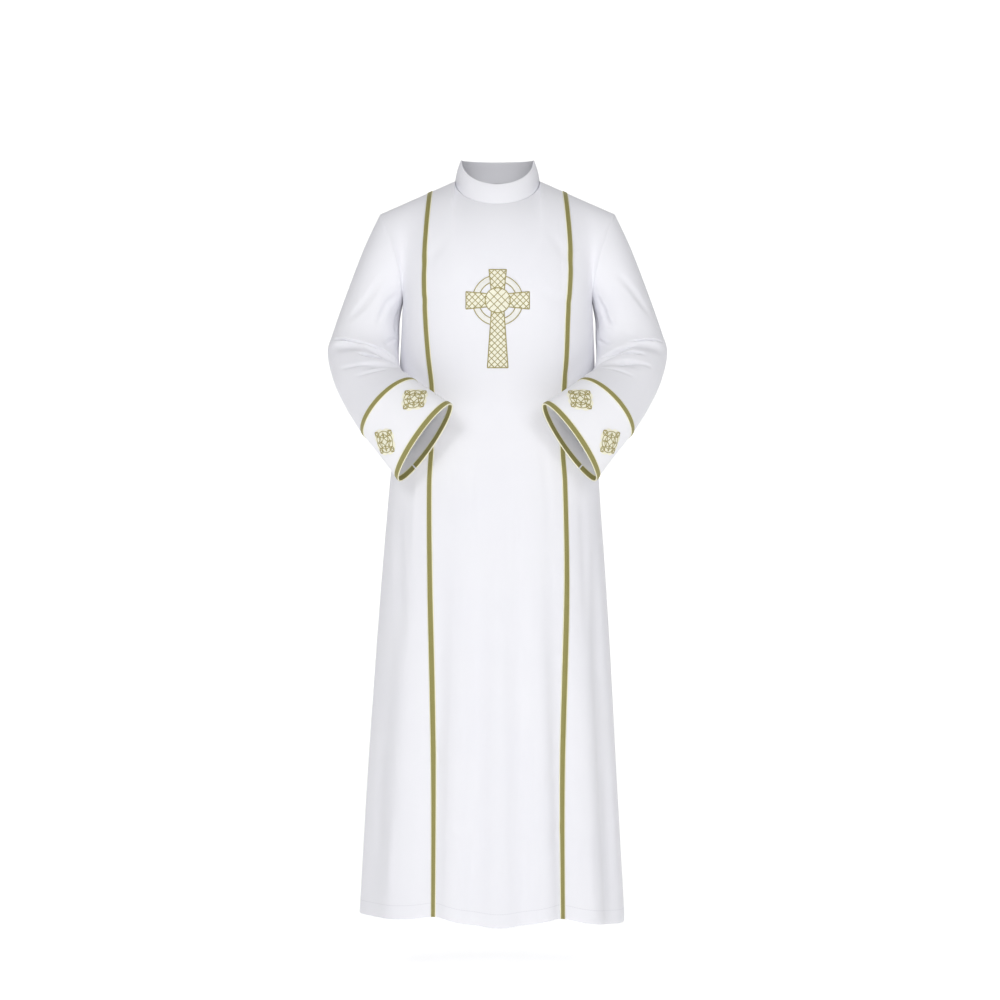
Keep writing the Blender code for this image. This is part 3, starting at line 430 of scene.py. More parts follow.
def seamEdge(sheet, *edges):
    # the cloth turns in a little at a seam and runs just past it, under its neighbour
    for edge in edges:
        addEdgeLines(sheet, edge, *edgeForm["seam"])


def roundEdge(sheet, edge):
    half = float(np.mean(sheet["inner"] - sheet["outer"])) / 2
    shares = edgeForm["roundShares"]
    sunk = half * (1 - np.sqrt(1 - (1 - shares) ** 2)) * edgeForm["roundness"]
    addEdgeLines(sheet, edge, shares * half, sunk, -sunk)


def sheetArrays(sheet, closed=False, band=None):
    # vertices, quads and their UVs in metres: across and up from the lower edge, and from the right and top
    # band is the woven width of a braid, which its own lines share evenly
    points = sheet["points"]
    rows, count = points.shape[:2]
    outer = points - sheet["normals"] * sheet["outer"][..., None]
    inner = points - sheet["normals"] * sheet["inner"][..., None]
    wide = np.concatenate([points, points[:, :1]], 1) if closed else points
    across = np.concatenate([np.zeros((rows, 1)), np.cumsum(lengthOf(np.diff(wide, axis=1))[..., 0], 1)], 1)
    down = np.concatenate([np.zeros((1, wide.shape[1])), np.cumsum(lengthOf(np.diff(wide, axis=0))[..., 0], 0)])
    if band and closed:
        down = np.linspace(0, band, rows)[:, None] * np.ones((1, wide.shape[1]))
    elif band:
        across = np.linspace(0, band, wide.shape[1])[None, :] * np.ones((rows, 1))
    uvs = np.stack([across, down[-1:] - down, across[:, -1:] - across, down], -1)
    r, c = (a.ravel() for a in np.meshgrid(np.arange(rows - 1), np.arange(wide.shape[1] - 1), indexing="ij"))
    d = c + 1
    corners = [(r, c), (r + 1, c), (r + 1, d), (r, d)]

    def index(a, b, layer):
        return layer * rows * count + a * count + b % count

    faces = [np.stack([index(a, b, 0) for a, b in corners], 1)]
    faceUvs = [np.stack([uvs[a, b] for a, b in corners], 1)]
    faces.append(np.stack([index(a, b, 1) for a, b in corners[::-1]], 1))
    faceUvs.append(np.stack([uvs[a, b] for a, b in corners[::-1]], 1))
    span = np.arange(wide.shape[1] - 1)
    rims = [(0, span, 0, span + 1), (rows - 1, span + 1, rows - 1, span)]
    if not closed:
        span = np.arange(rows - 1)
        rims += [(span + 1, 0, span, 0), (span, count - 1, span + 1, count - 1)]
    for a, b, e, f in rims:
        a, b, e, f = np.broadcast_arrays(a, b, e, f)
        faces.append(np.stack([index(a, b, 0), index(e, f, 0), index(e, f, 1), index(a, b, 1)], 1))
        faceUvs.append(np.stack([uvs[a, b], uvs[e, f], uvs[e, f], uvs[a, b]], 1))
    faces, faceUvs = np.concatenate(faces), np.concatenate(faceUvs)
    ways = gridNormals(points, closed)
    if (ways * sheet["normals"]).sum() < 0:
        faces, faceUvs = faces[:, ::-1], faceUvs[:, ::-1]
    return np.concatenate([outer.reshape(-1, 3), inner.reshape(-1, 3)]), faces, faceUvs


def makePiece(name, parts, materials, replaced, sharp=50):
    # parts are (vertices, quads, UVs, material number)
    verts, faces, uvs, numbers, base = [], [], [], [], 0
    for partVerts, partFaces, partUvs, number in parts:
        verts.append(partVerts)
        faces.append(partFaces + base)
        uvs.append(partUvs)
        numbers.append(np.full(len(partFaces), number))
        base += len(partVerts)
    faces = np.concatenate(faces)
    mesh = bpy.data.meshes.new(name)
    mesh.from_pydata(np.concatenate(verts).tolist(), [], faces.tolist())
    flatUvs = np.concatenate(uvs).reshape(-1, 4)
    for uvName, columns in (("weave", flatUvs[:, :2]), ("farEdges", flatUvs[:, 2:])):
        layer = mesh.uv_layers.new(name=uvName)
        layer.data.foreach_set("uv", columns.astype(np.float32).ravel())
    mesh.polygons.foreach_set("material_index", np.concatenate(numbers).astype(np.int32))
    mesh.shade_smooth()
    mesh.set_sharp_from_angle(angle=math.radians(sharp))
    for material in materials:
        mesh.materials.append(material)
    piece = bpy.data.objects.new(name, mesh)
    bpy.context.collection.objects.link(piece)
    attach(piece, "root")
    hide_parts(*replaced)
    return piece


# Materials

def fromHex(text):
    parts = [int(text[i:i + 2], 16) / 255 for i in (1, 3, 5)]
    return (*[p / 12.92 if p <= 0.04045 else ((p + 0.055) / 1.055) ** 2.4 for p in parts], 1.0)


def addNode(tree, kind, settings=None, **inputs):
    # settings is a dictionary, or a word for the operation
    # inputs go by name without spaces, or as in0, in1 by number; a socket is linked and hex text is a colour
    node = tree.nodes.new("ShaderNode" + kind)
    if isinstance(settings, str):
        settings = {"operation": settings}
    for key, value in (settings or {}).items():
        setattr(node, key, value)
    for key, value in inputs.items():
        if key[:2] == "in" and key[2:].isdigit():
            socket = node.inputs[int(key[2:])]
        else:
            socket = next(s for s in node.inputs if s.name.replace(" ", "") == key and s.enabled)
        if isinstance(value, bpy.types.NodeSocket):
            tree.links.new(value, socket)
        else:
            socket.default_value = fromHex(value) if isinstance(value, str) else value
    return node


def newMaterial(name, **values):
    material = bpy.data.materials.new(name)
    material.use_nodes = True
    shader = material.node_tree.nodes["Principled BSDF"]
    for key, value in values.items():
        next(s for s in shader.inputs if s.name.replace(" ", "") == key).default_value = value
    return material, material.node_tree


def finishMaterial(material, colour, normal):
    shader = material.node_tree.nodes["Principled BSDF"]
    material.node_tree.links.new(colour, shader.inputs["Base Color"])
    material.node_tree.links.new(normal, shader.inputs["Normal"])
    return material


def weaveBands(tree, uv, spacing, direction, distortion):
    return addNode(tree, "TexWave", {"wave_type": "BANDS", "bands_direction": direction},
                   Vector=uv, Scale=math.pi / (10 * spacing), Distortion=distortion).outputs["Fac"]


clothLook = {
    "robe": "#F3F3F7", "robeShade": "#EEEEF4", "cuff": "#F6F6F9", "cuffShade": "#F2F2F6", "thread": 0.0011,
    "threadBump": 0.00006, "puckerBump": 0.0011, "hemUp": 0.026, "stitch": 0.0032, "stitchShare": 0.72,
    "stitchHalfWidth": 0.0006, "stitchBump": 0.0003, "stitchColour": "#E4E4EA",
}


def polyesterCloth(name, light, shade, hem=0.0):
    # polyester suiting in plain weave, pressed: matt with a faint sheen at the edges of folds
    material, tree = newMaterial(
        name, Roughness=0.72, SpecularIORLevel=0.35, SheenWeight=0.12, SheenRoughness=0.45)
    place = addNode(tree, "TexCoord").outputs["Object"]
    weave = addNode(tree, "UVMap", {"uv_map": "weave"}).outputs["UV"]
    spread = addNode(tree, "TexNoise", Vector=place, Scale=6.0, Detail=3.0).outputs["Fac"]
    colour = addNode(tree, "Mix", {"data_type": "RGBA"}, Factor=spread, in6=shade, in7=light).outputs[2]
    warp = weaveBands(tree, weave, clothLook["thread"], "X", 0.4)  # threads of 0.4 mm, drawn at 1.1 mm to show
    weft = weaveBands(tree, weave, clothLook["thread"], "Y", 0.4)
    threads = addNode(tree, "Math", "MULTIPLY", in0=warp, in1=weft).outputs[0]
    pucker = addNode(tree, "TexNoise", Vector=place, Scale=22.0, Detail=4.0, Roughness=0.45).outputs["Fac"]
    normal = addNode(tree, "Bump", Strength=0.5, Distance=clothLook["puckerBump"], Height=pucker).outputs["Normal"]
    normal = addNode(tree, "Bump", Strength=0.6, Distance=clothLook["threadBump"], Height=threads,
                     Normal=normal).outputs["Normal"]
    if hem:
        # one row of stitches where the hem is turned up
        parts = addNode(tree, "SeparateXYZ", Vector=weave).outputs
        level = addNode(tree, "Math", "COMPARE", in0=parts["Y"], in1=hem, in2=clothLook["stitchHalfWidth"]).outputs[0]
        beat = addNode(tree, "Math", "DIVIDE", in0=parts["X"], in1=clothLook["stitch"]).outputs[0]
        beat = addNode(tree, "Math", "FRACT", in0=beat).outputs[0]
        dash = addNode(tree, "Math", "LESS_THAN", in0=beat, in1=clothLook["stitchShare"]).outputs[0]
        stitches = addNode(tree, "Math", "MULTIPLY", in0=level, in1=dash).outputs[0]
        colour = addNode(tree, "Mix", {"data_type": "RGBA"}, Factor=stitches, in6=colour,
                         in7=clothLook["stitchColour"]).outputs[2]
        normal = addNode(tree, "Bump", Strength=0.35, Distance=clothLook["stitchBump"], Height=level,
                         Normal=normal).outputs["Normal"]
    return finishMaterial(material, colour, normal)


braidLook = {"olive": "#A39C5C", "oliveDeep": "#8A8346", "cream": "#F6F2D6", "rib": 0.0016, "ribBump": 0.0004,
             "edgeBlur": 0.0003}


def wovenBraid():
    # rayon braid: satiny olive ribs in a herringbone between two pale woven edges
    material, tree = newMaterial("rayonBraidOlive", Roughness=0.48, SheenWeight=0.10, Metallic=0.05)
    uv = addNode(tree, "UVMap", {"uv_map": "weave"}).outputs["UV"]
    parts = addNode(tree, "SeparateXYZ", Vector=uv).outputs
    half = braid["width"] / 2
    off = addNode(tree, "Math", "SUBTRACT", in0=parts["X"], in1=half).outputs[0]
    off = addNode(tree, "Math", "ABSOLUTE", in0=off).outputs[0]
    slant = addNode(tree, "Math", "ADD", in0=parts["Y"], in1=off).outputs[0]
    ribs = addNode(tree, "Math", "PINGPONG", in0=slant, in1=braidLook["rib"] / 2).outputs[0]
    ribs = addNode(tree, "Math", "DIVIDE", in0=ribs, in1=braidLook["rib"] / 2).outputs[0]
    olive = addNode(tree, "Mix", {"data_type": "RGBA"}, Factor=ribs, in6=braidLook["oliveDeep"],
                    in7=braidLook["olive"]).outputs[2]
    edge = addNode(tree, "MapRange", {"interpolation_type": "SMOOTHSTEP"}, Value=off,
                   FromMin=half - braid["edge"] - braidLook["edgeBlur"], FromMax=half - braid["edge"])
    colour = addNode(tree, "Mix", {"data_type": "RGBA"}, Factor=edge.outputs["Result"], in6=olive,
                     in7=braidLook["cream"]).outputs[2]
    bump = addNode(tree, "Bump", Strength=0.7, Distance=braidLook["ribBump"], Height=ribs)
    return finishMaterial(material, colour, bump.outputs["Normal"])


threadLook = {
    "gold": "#B5A966", "goldDeep": "#9A8F54", "fill": "#FDFBEB", "fillShade": "#FBF8E0", "white": "#FDFCF8",
    "whiteShade": "#F9F8F3", "pitch": 0.0006, "slant": 0.35, "bump": 0.00025,
}


def satinStitch(name, light, deep, roughness):
    # machine embroidery in rayon thread: close parallel stitches with a soft silk gloss
    material, tree = newMaterial(name, Roughness=roughness, SheenWeight=0.08)
    uv = addNode(tree, "UVMap", {"uv_map": "weave"}).outputs["UV"]
    tilted = addNode(tree, "Mapping", Vector=uv, Rotation=(0.0, 0.0, threadLook["slant"])).outputs["Vector"]
    lines = weaveBands(tree, tilted, threadLook["pitch"], "Y", 0.6)
    colour = addNode(tree, "Mix", {"data_type": "RGBA"}, Factor=lines, in6=deep, in7=light).outputs[2]
    bump = addNode(tree, "Bump", Strength=0.6, Distance=threadLook["bump"], Height=lines)
    return finishMaterial(material, colour, bump.outputs["Normal"])


robeColours = clothLook["robe"], clothLook["robeShade"]
robeCloth = polyesterCloth("polyesterWeaveWhite", *robeColours)
hemmedCloth = polyesterCloth("polyesterWeaveWhiteHemmed", *robeColours, clothLook["hemUp"])
cuffCloth = polyesterCloth("polyesterWeaveBright", clothLook["cuff"], clothLook["cuffShade"])
braidCloth = wovenBraid()
goldThread = satinStitch("rayonThreadGold", threadLook["gold"], threadLook["goldDeep"], 0.42)
fillThread = satinStitch("rayonThreadCream", threadLook["fill"], threadLook["fillShade"], 0.55)
whiteThread = satinStitch("rayonThreadWhite", threadLook["white"], threadLook["whiteShade"], 0.6)
print("materials made")


# Body panels

leftSide, middle, rightSide = sideColumns(-1)[::-1], frontColumns(), sideColumns(1)
leftSeam = len(leftSide) - 1
rightSeam = leftSeam + len(middle) - 1
front = np.stack(leftSide + middle[1:] + rightSide[1:], 1)
back = np.stack(backColumns(1) + backColumns(-1)[::-1][1:], 1)


def pressFolds(grid, rows):
    depth = creaseDepth(grid[..., 0], grid[..., 2], rows)
    depth *= softStep(fromEnds(grid.shape[1]) / body["calmColumns"])[None, :]
    return grid - gridNormals(grid) * depth[..., None]


front = pressFolds(front, body["frontCreases"])
back = pressFolds(back, body["backCreases"])
frontOut, backOut = gridNormals(front), gridNormals(back)
for row in range(body["rowsToUnderarm"], len(front)):  # the side seams share one way out
    for a, b in ((-1, 0), (0, -1)):
        shared = frontOut[row, a] + backOut[row, b]
        frontOut[row, a] = backOut[row, b] = shared / np.linalg.norm(shared)
centreBack = back.shape[1] // 2


def makePanel(name, node, grid, ways, first, last, edges):
    sheet = sheetOf(grid[:, first:last + 1], ways[:, first:last + 1], body["cloth"])
    seamEdge(sheet, *edges.split())
    roundEdge(sheet, "bottom")
    return makePiece(name, [(*sheetArrays(sheet), 0)], [hemmedCloth], [node])


lastFront, lastBack = front.shape[1] - 1, back.shape[1] - 1
panels = {name: (makePanel(name, node, *rest), body[cut]) for name, node, cut, *rest in (
    ("sideFrontLeft", "side_front_left", "sideFrontCut", front, frontOut, 0, leftSeam, "left top"),
    ("frontPanel", "front_panel", "frontPanelCut", front, frontOut, leftSeam, rightSeam, "top"),
    ("sideFrontRight", "side_front_right", "sideFrontCut", front, frontOut, rightSeam, lastFront, "right top"),
    ("backRight", "back_right", "backCut", back, backOut, 0, centreBack, "left right top"),
    ("backLeft", "back_left", "backCut", back, backOut, centreBack, lastBack, "left right top"))}
print("body panels made")


# Collar

collar = {
    "thick": 0.0024, "rows": 14, "halfWidth": 0.071, "front": 0.064, "back": 0.060,
    "frontHeight": -0.002, "sideHeight": 0.0523, "backHeight": 0.056, "swell": 0.0015,
    # beside the lower edge: distances, then how deep each face of the wall is there
    "seam": ((-0.0035, -0.0003, 0.0005, 0.0020), (0.0016, 0.0012, 0.0003, 0.0), (0.0,) * 4),
    "cut": (0.47, 0.060, 0.0215),
}


def collarGrid():
    count = 2 * body["neckSteps"]
    share = np.linspace(0, 1, collar["rows"] + 1)
    lines = []
    for c in range(count + 1):
        angle = mix(-math.pi, math.pi, c / count)
        turn = 1 - abs(math.cos(angle))
        isFront = abs(angle) <= math.pi / 2
        depth = collar["front"] if isFront else collar["back"]
        height = mix(collar["frontHeight"] if isFront else collar["backHeight"], collar["sideHeight"], turn)
        top = np.array((collar["halfWidth"] * math.sin(angle), -depth * math.cos(angle), height))
        lines.append(mix(top, neckPoint(angle), share[:, None]))
    grid = np.stack(lines, 1)
    return grid + gridNormals(grid) * np.sin(share * np.pi)[:, None, None] * collar["swell"]


grid = collarGrid()
ways = gridNormals(grid)
ends = ways[:, 0] + ways[:, -1]
ways[:, 0] = ways[:, -1] = ends / lengthOf(ends)
sheet = sheetOf(grid, ways, collar["thick"])
addEdgeLines(sheet, "bottom", *collar["seam"])
seamEdge(sheet, "left", "right")
roundEdge(sheet, "top")
collarPiece = makePiece("collarBand", [(*sheetArrays(sheet), 0)], [robeCloth], ["collar"])
print("collar made")


# Sleeves and cuffs

sleeve = {
    "cloth": 0.0012, "rings": 170, "count": 128, "cuffRows": 40, "length": 0.50, "girth": 0.40,
    "ringSteps": 721, "calmEnd": 0.04,
    "ringTable": table("outerX outerY outerZ innerX innerY innerZ halfDepth", [
        (0.2600, 0.010, -0.121, 0.1905, 0.000, -0.262, 0.066),
        (0.2965, 0.012, -0.220, 0.1910, -0.014, -0.294, 0.068),
        (0.3195, 0.006, -0.297, 0.1925, -0.036, -0.320, 0.064),
        (0.3268, -0.008, -0.337, 0.1895, -0.066, -0.345, 0.059),
        (0.3090, -0.038, -0.393, 0.1820, -0.104, -0.362, 0.054),
        (0.2790, -0.076, -0.447, 0.1690, -0.134, -0.371, 0.051),
        (0.2505, -0.112, -0.487, 0.1618, -0.160, -0.379, 0.048),
        (0.1840, -0.165, -0.573, 0.0867, -0.226, -0.430, 0.029)]),
    # the main creases, as in the solids: where along and around, slant, reach and depth
    "creases": table("side along around slant length width depth", [
        (-1, 0.595, 0.22, 0.10, 0.13, 0.045, 0.007),
        (-1, 0.620, 0.40, 0.22, 0.12, 0.045, 0.010),
        (-1, 0.740, 0.38, -0.06, 0.12, 0.045, 0.007),
        (1, 0.590, 0.22, -0.04, 0.14, 0.045, 0.007),
        (1, 0.620, 0.40, 0.20, 0.13, 0.045, 0.010),
        (1, 0.720, 0.34, 0.05, 0.12, 0.045, 0.006),
        (-1, 0.600, 0.66, 0.10, 0.14, 0.050, 0.008),
        (1, 0.610, 0.67, 0.08, 0.14, 0.050, 0.008)]),
    # finer ones, in metres along from the armhole and around from the outer line over the front
    "fineLeft": table("a0 b0 a1 b1 width depth bow", [
        (0.010, 0.158, 0.190, 0.128, 0.010, 0.0042, 0.008),
        (0.020, 0.186, 0.150, 0.176, 0.009, 0.0044, 0.004),
        (0.040, 0.105, 0.200, 0.070, 0.012, 0.0026, -0.006),
        (0.150, 0.190, 0.262, 0.160, 0.009, 0.0034, 0.006),
        (0.252, 0.045, 0.285, 0.130, 0.007, 0.0052, 0.006),
        (0.285, 0.118, 0.300, 0.196, 0.006, 0.0056, -0.006),
        (0.318, 0.100, 0.326, 0.186, 0.006, 0.0062, 0.008),
        (0.350, 0.060, 0.362, 0.150, 0.008, 0.0030, 0.005),
        (0.392, 0.090, 0.404, 0.170, 0.010, 0.0020, 0.004),
        (0.030, 0.250, 0.220, 0.290, 0.012, 0.0040, 0.008),
        (0.060, 0.330, 0.250, 0.345, 0.012, 0.0032, -0.006),
        (0.262, 0.225, 0.296, 0.330, 0.008, 0.0052, 0.008),
        (0.318, 0.236, 0.350, 0.320, 0.008, 0.0046, -0.006),
        (0.395, 0.250, 0.430, 0.350, 0.010, 0.0028, 0.005)]),
    "fineRight": table("a0 b0 a1 b1 width depth bow", [
        (0.015, 0.154, 0.180, 0.134, 0.010, 0.0040, -0.008),
        (0.030, 0.188, 0.140, 0.180, 0.009, 0.0042, -0.004),
        (0.050, 0.100, 0.190, 0.060, 0.012, 0.0026, 0.006),
        (0.160, 0.186, 0.255, 0.156, 0.009, 0.0036, -0.005),
        (0.262, 0.040, 0.272, 0.128, 0.007, 0.0050, 0.006),
        (0.292, 0.104, 0.290, 0.194, 0.006, 0.0058, 0.006),
        (0.326, 0.086, 0.322, 0.180, 0.006, 0.0056, -0.007),
        (0.352, 0.064, 0.366, 0.160, 0.008, 0.0030, -0.005),
        (0.404, 0.100, 0.388, 0.180, 0.010, 0.0020, 0.004),
        (0.035, 0.260, 0.230, 0.280, 0.012, 0.0040, -0.008),
        (0.070, 0.335, 0.240, 0.350, 0.012, 0.0032, 0.006),
        (0.272, 0.230, 0.300, 0.325, 0.008, 0.0052, -0.008),
        (0.326, 0.240, 0.345, 0.330, 0.008, 0.0044, 0.006),
        (0.400, 0.260, 0.425, 0.345, 0.010, 0.0028, -0.005)]),
    "cut": (0.43, 0.47, 0.150), "cuffCut": (0.40, 0.135, 0.0455),
}


def ringPoints(outer, inner, halfDepth, along, count):
    reach = (outer - inner) / 2
    across = np.cross(reach, along)
    across /= np.linalg.norm(across)
    if across[1] > 0:
        across = -across
    turns = np.linspace(0, 2 * np.pi, sleeve["ringSteps"])[:, None]
    line = (outer + inner) / 2 + reach * np.cos(turns) + across * halfDepth * np.sin(turns)
    far = distanceAlong(line)
    wanted = far[-1] * np.arange(count) / count
    return np.stack([np.interp(wanted, far, line[:, k]) for k in range(3)], -1)


def sleeveGrids(side):
    count, rows = sleeve["count"], sleeve["ringTable"]
    outer, inner = (np.stack([side * rows[end + "X"], rows[end + "Y"], rows[end + "Z"]], -1)
                    for end in ("outer", "inner"))
    halves = rows["halfDepth"]
    share = np.arange(count // 2 + 1) / (count // 2)
    armhole = np.concatenate([armholePoint(side, share, -1), armholePoint(side, share[-2:0:-1], 1)])
    middles = np.concatenate([[(armhole[0] + armhole[count // 2]) / 2], (outer + inner) / 2])
    rings = [armhole]
    for i in range(1, len(middles) - 1):
        rings.append(ringPoints(outer[i - 1], inner[i - 1], halves[i - 1], middles[i + 1] - middles[i - 1], count))
    mouth = ringPoints(outer[-1], inner[-1], halves[-1], middles[-1] - middles[-2], count)
    spans = len(rings) - 1
    grid = []
    for r in range(sleeve["rings"] + 1):
        place = r / sleeve["rings"] * spans
        i = min(int(place), spans - 1)
        keys = (rings[max(i - 1, 0)], rings[i], rings[i + 1], rings[min(i + 2, spans)])
        grid.append(curveThrough(keys, (1, 1, 1), place - i))
    grid = np.stack(grid)
    share = np.linspace(0, 1, sleeve["cuffRows"] + 1)[:, None, None]
    return grid, mix(grid[-1:], mouth[None], share)


def pressSleeve(grid, side):
    rows, count = grid.shape[:2]
    along = (np.arange(rows) / (rows - 1))[:, None] * np.ones((1, count))
    around = (np.arange(count) / count)[None, :] * np.ones((rows, 1))
    depth = np.zeros((rows, count))
    for hand, place, turn, slant, length, width, deep in zip(*sleeve["creases"].values()):
        if hand == side:
            off = around - turn
            depth += deep * softBump(off / length) * softBump((along - place - slant * off) / width)
    fine = sleeve["fineRight" if side > 0 else "fineLeft"]
    calm = softStep(along / sleeve["calmEnd"]) * softStep((1 - along) / sleeve["calmEnd"])
    depth += calm * creaseDepth(along * sleeve["length"], around * sleeve["girth"], fine, sleeve["girth"])
    return grid + side * gridNormals(grid, True) * depth[..., None]


def makeBinding(name, node, grid, ways):
    # braid folded over the cuff's edge, its ends just apart at the underarm seam
    count = grid.shape[1]
    order = (int(braid["bindingSeam"] * count) + np.arange(count + 1)) % count
    tall = np.linalg.norm(grid[-1, 0] - grid[0, 0])
    rowAt = round((1 - braid["width"] / tall) * sleeve["cuffRows"])
    edge, upper = grid[-1, order], grid[rowAt, order]
    out, upperOut = ways[-1, order], ways[rowAt, order]
    up = (upper - edge) / lengthOf(upper - edge)
    reach = braid["width"]
    deep = sleeve["cloth"] + braid["gap"]
    lines, wall = braid["bindingLines"], braid["thick"] * braid["bindingMiddle"]
    legs = []
    for share in np.linspace(1, 0, lines):  # down the outside
        dome = wall + braid["dome"] * math.sin(math.pi * min(share * 1.1, 1))
        legs.append(edge + up * reach * share + mix(out, upperOut, share) * (braid["gap"] + dome))
    half = (deep + braid["gap"]) / 2 + wall
    centre = edge - out * (deep - braid["gap"]) / 2
    for turn in np.linspace(0, math.pi, lines)[1:-1]:  # round the fold
        legs.append(centre + out * half * math.cos(turn) - up * half * math.sin(turn))
    for share in np.linspace(0, 1, lines):  # up the inside
        legs.append(edge + up * reach * share - mix(out, upperOut, share) * (deep + wall))
    profile = np.stack(legs)
    along = np.gradient(profile, axis=1)
    along /= lengthOf(along)
    pull = np.zeros(count + 1)
    pull[0], pull[-1] = braid["bindingEndGap"] / 2, -braid["bindingEndGap"] / 2
    profile = profile + along * pull[None, :, None]
    normals = gridNormals(profile)
    if (normals[0] * out).sum() < 0:
        normals = -normals
    sheet = sheetOf(profile.swapaxes(0, 1), normals.swapaxes(0, 1), braid["thick"] * braid["bindingWall"])
    verts, faces, uvs = sheetArrays(sheet)
    width = uvs[..., 0].max()
    uvs[..., 0] = np.minimum(uvs[..., 0], width - uvs[..., 0]) * braid["width"] / (width / 2)
    return makePiece(name, [(verts, faces, uvs, 0)], [braidCloth], [node])


def makeStrip(name, node, points, ways, closed=False):
    # braid laid on cloth, a little domed and rounded at its edges
    share = np.linspace(-1, 1, points.shape[0 if closed else 1])
    dome = braid["dome"] * (1 - share ** 2)
    sink = braid["thick"] * braid["edgeDrop"] * np.abs(share) ** 8
    lift = braid["gap"] + braid["thick"] * braid["bindingWall"] + dome - sink
    sheet = sheetOf(points, ways, 0.0)
    lift = lift[:, None] if closed else lift[None, :]
    sheet["outer"] = -lift * np.ones(points.shape[:2])
    sheet["inner"] = np.zeros(points.shape[:2]) - braid["gap"]
    verts, faces, uvs = sheetArrays(sheet, closed, braid["width"])
    if closed:
        uvs = uvs[..., [1, 0, 2, 3]]
    return makePiece(name, [(verts, faces, uvs, 0)], [braidCloth], [node], 70)


# Embroidery: raised threads and filled patches, each laid on a surface

def sweepThread(points, ways, width, height, closed=False):
    if closed:
        tangent = np.roll(points, -1, 0) - np.roll(points, 1, 0)
    else:
        tangent = np.gradient(points, axis=0)
    tangent /= np.maximum(lengthOf(tangent), 1e-9)
    side = np.cross(ways, tangent)
    side /= np.maximum(lengthOf(side), 1e-9)
    turns = np.linspace(0, np.pi, 6)
    ring = points[:, None] + side[:, None] * (np.cos(turns) * width / 2)[None, :, None] \
        + ways[:, None] * (np.sin(turns) * height)[None, :, None]
    count, sides = ring.shape[:2]
    far = distanceAlong(points)
    spans = count if closed else count - 1
    i, k = (a.ravel() for a in np.meshgrid(np.arange(spans), np.arange(sides), indexing="ij"))
    j, n = (i + 1) % count, (k + 1) % sides
    faces = np.stack([i * sides + k, i * sides + n, j * sides + n, j * sides + k], 1)
    step = np.where(j > i, far[j], far[-1] + 0.001)
    u = turns / np.pi * width
    uvs = np.stack([np.stack([u[k], far[i]], 1), np.stack([u[n], far[i]], 1), np.stack([u[n], step], 1),
                    np.stack([u[k], step], 1)], 1)
    if not closed:
        for end, order in ((0, (0, 5, 4, 1)), (0, (1, 4, 3, 2)), (-1, (0, 1, 4, 5)), (-1, (1, 2, 3, 4))):
            faces = np.concatenate([faces, [[end % count * sides + o for o in order]]])
            uvs = np.concatenate([uvs, np.zeros((1, 4, 2))])
    return ring.reshape(-1, 3), faces, np.concatenate([uvs, uvs], -1)


patchRim = 0.35  # share of its height that a patch has at its rim


def patchArrays(plan, surface, height):
    # plan is a grid of 2D points; the patch thins where it ends
    points, ways = surface(plan)
    rows, count = plan.shape[:2]
    sheet = sheetOf(points, ways, 0.0)
    edge = np.minimum(fromEnds(rows)[:, None], fromEnds(count)[None, :])
    sheet["outer"] = -height * np.clip(patchRim * (1 + edge), 0, 1)
    return sheetArrays(sheet)


def discPlan(radiusAt, steps):
    u, v = np.meshgrid(np.linspace(-1, 1, steps), np.linspace(-1, 1, steps), indexing="ij")
    x, z = u * np.sqrt(1 - v * v / 2), v * np.sqrt(1 - u * u / 2)
    scale = radiusAt(np.arctan2(z, x))
    return np.stack([x * scale, z * scale], -1)


def lineOf(a, b, step=0.002):
    a, b = np.array(a, float), np.array(b, float)
    count = max(2, int(np.linalg.norm(b - a) / step) + 1)
    return a + (b - a) * np.linspace(0, 1, count)[:, None]


cross = {
    "x": 0.0005, "height": -0.2305, "top": 0.0585, "foot": 0.128, "side": 0.060,
    "waist": 0.0105, "flare": 0.0165, "footFlare": 0.0195, "ring": 0.0480, "ringInner": 0.0362, "centre": 0.0238,
    "fill": 0.0006, "gap": 0.0003, "outline": 0.0018, "line": 0.0015, "threadHeight": 0.0007,
    "lattice": 0.0099, "centreLattice": 0.0100, "stretch": 1.18, "diagonal": 0.05,
    "weaveLift": 0.0002, "sunk": 0.6,
}
# the four arms: way out, length and end width
arms = [((0, 1), cross["top"], cross["flare"]), ((0, -1), cross["foot"], cross["footFlare"]),
        ((1, 0), cross["side"], cross["flare"]), ((-1, 0), cross["side"], cross["flare"])]


def armHalf(arm, far):
    return mix(cross["waist"], arm[2], far / arm[1])


def armPoint(arm, far, off):
    (x, z) = arm[0]
    return np.stack([x * far + z * off, z * far - x * off], -1)


def clipLine(a, b, corners):
    # the part of a line inside a convex outline
    low, high = 0.0, 1.0
    for p, q in zip(corners, corners[1:] + corners[:1]):
        inward = np.array((-(q[1] - p[1]), q[0] - p[0]))
        start, run = np.dot(a - p, inward), np.dot(b - a, inward)
        if abs(run) < 1e-12:
            if start < 0:
                return None
        elif run > 0:
            low = max(low, -start / run)
        else:
            high = min(high, -start / run)
    return (a + (b - a) * low, a + (b - a) * high) if high - low > 1e-4 else None


def ringTurns(k, radius):
    # from where to where the ring shows between one arm and the next
    order = [arms[n] for n in (2, 0, 3, 1)]
    first, last = (np.arcsin(armHalf(order[n % 4], radius) / radius) for n in (k, k + 1))
    return k * math.pi / 2 + first, (k + 1) * math.pi / 2 - last


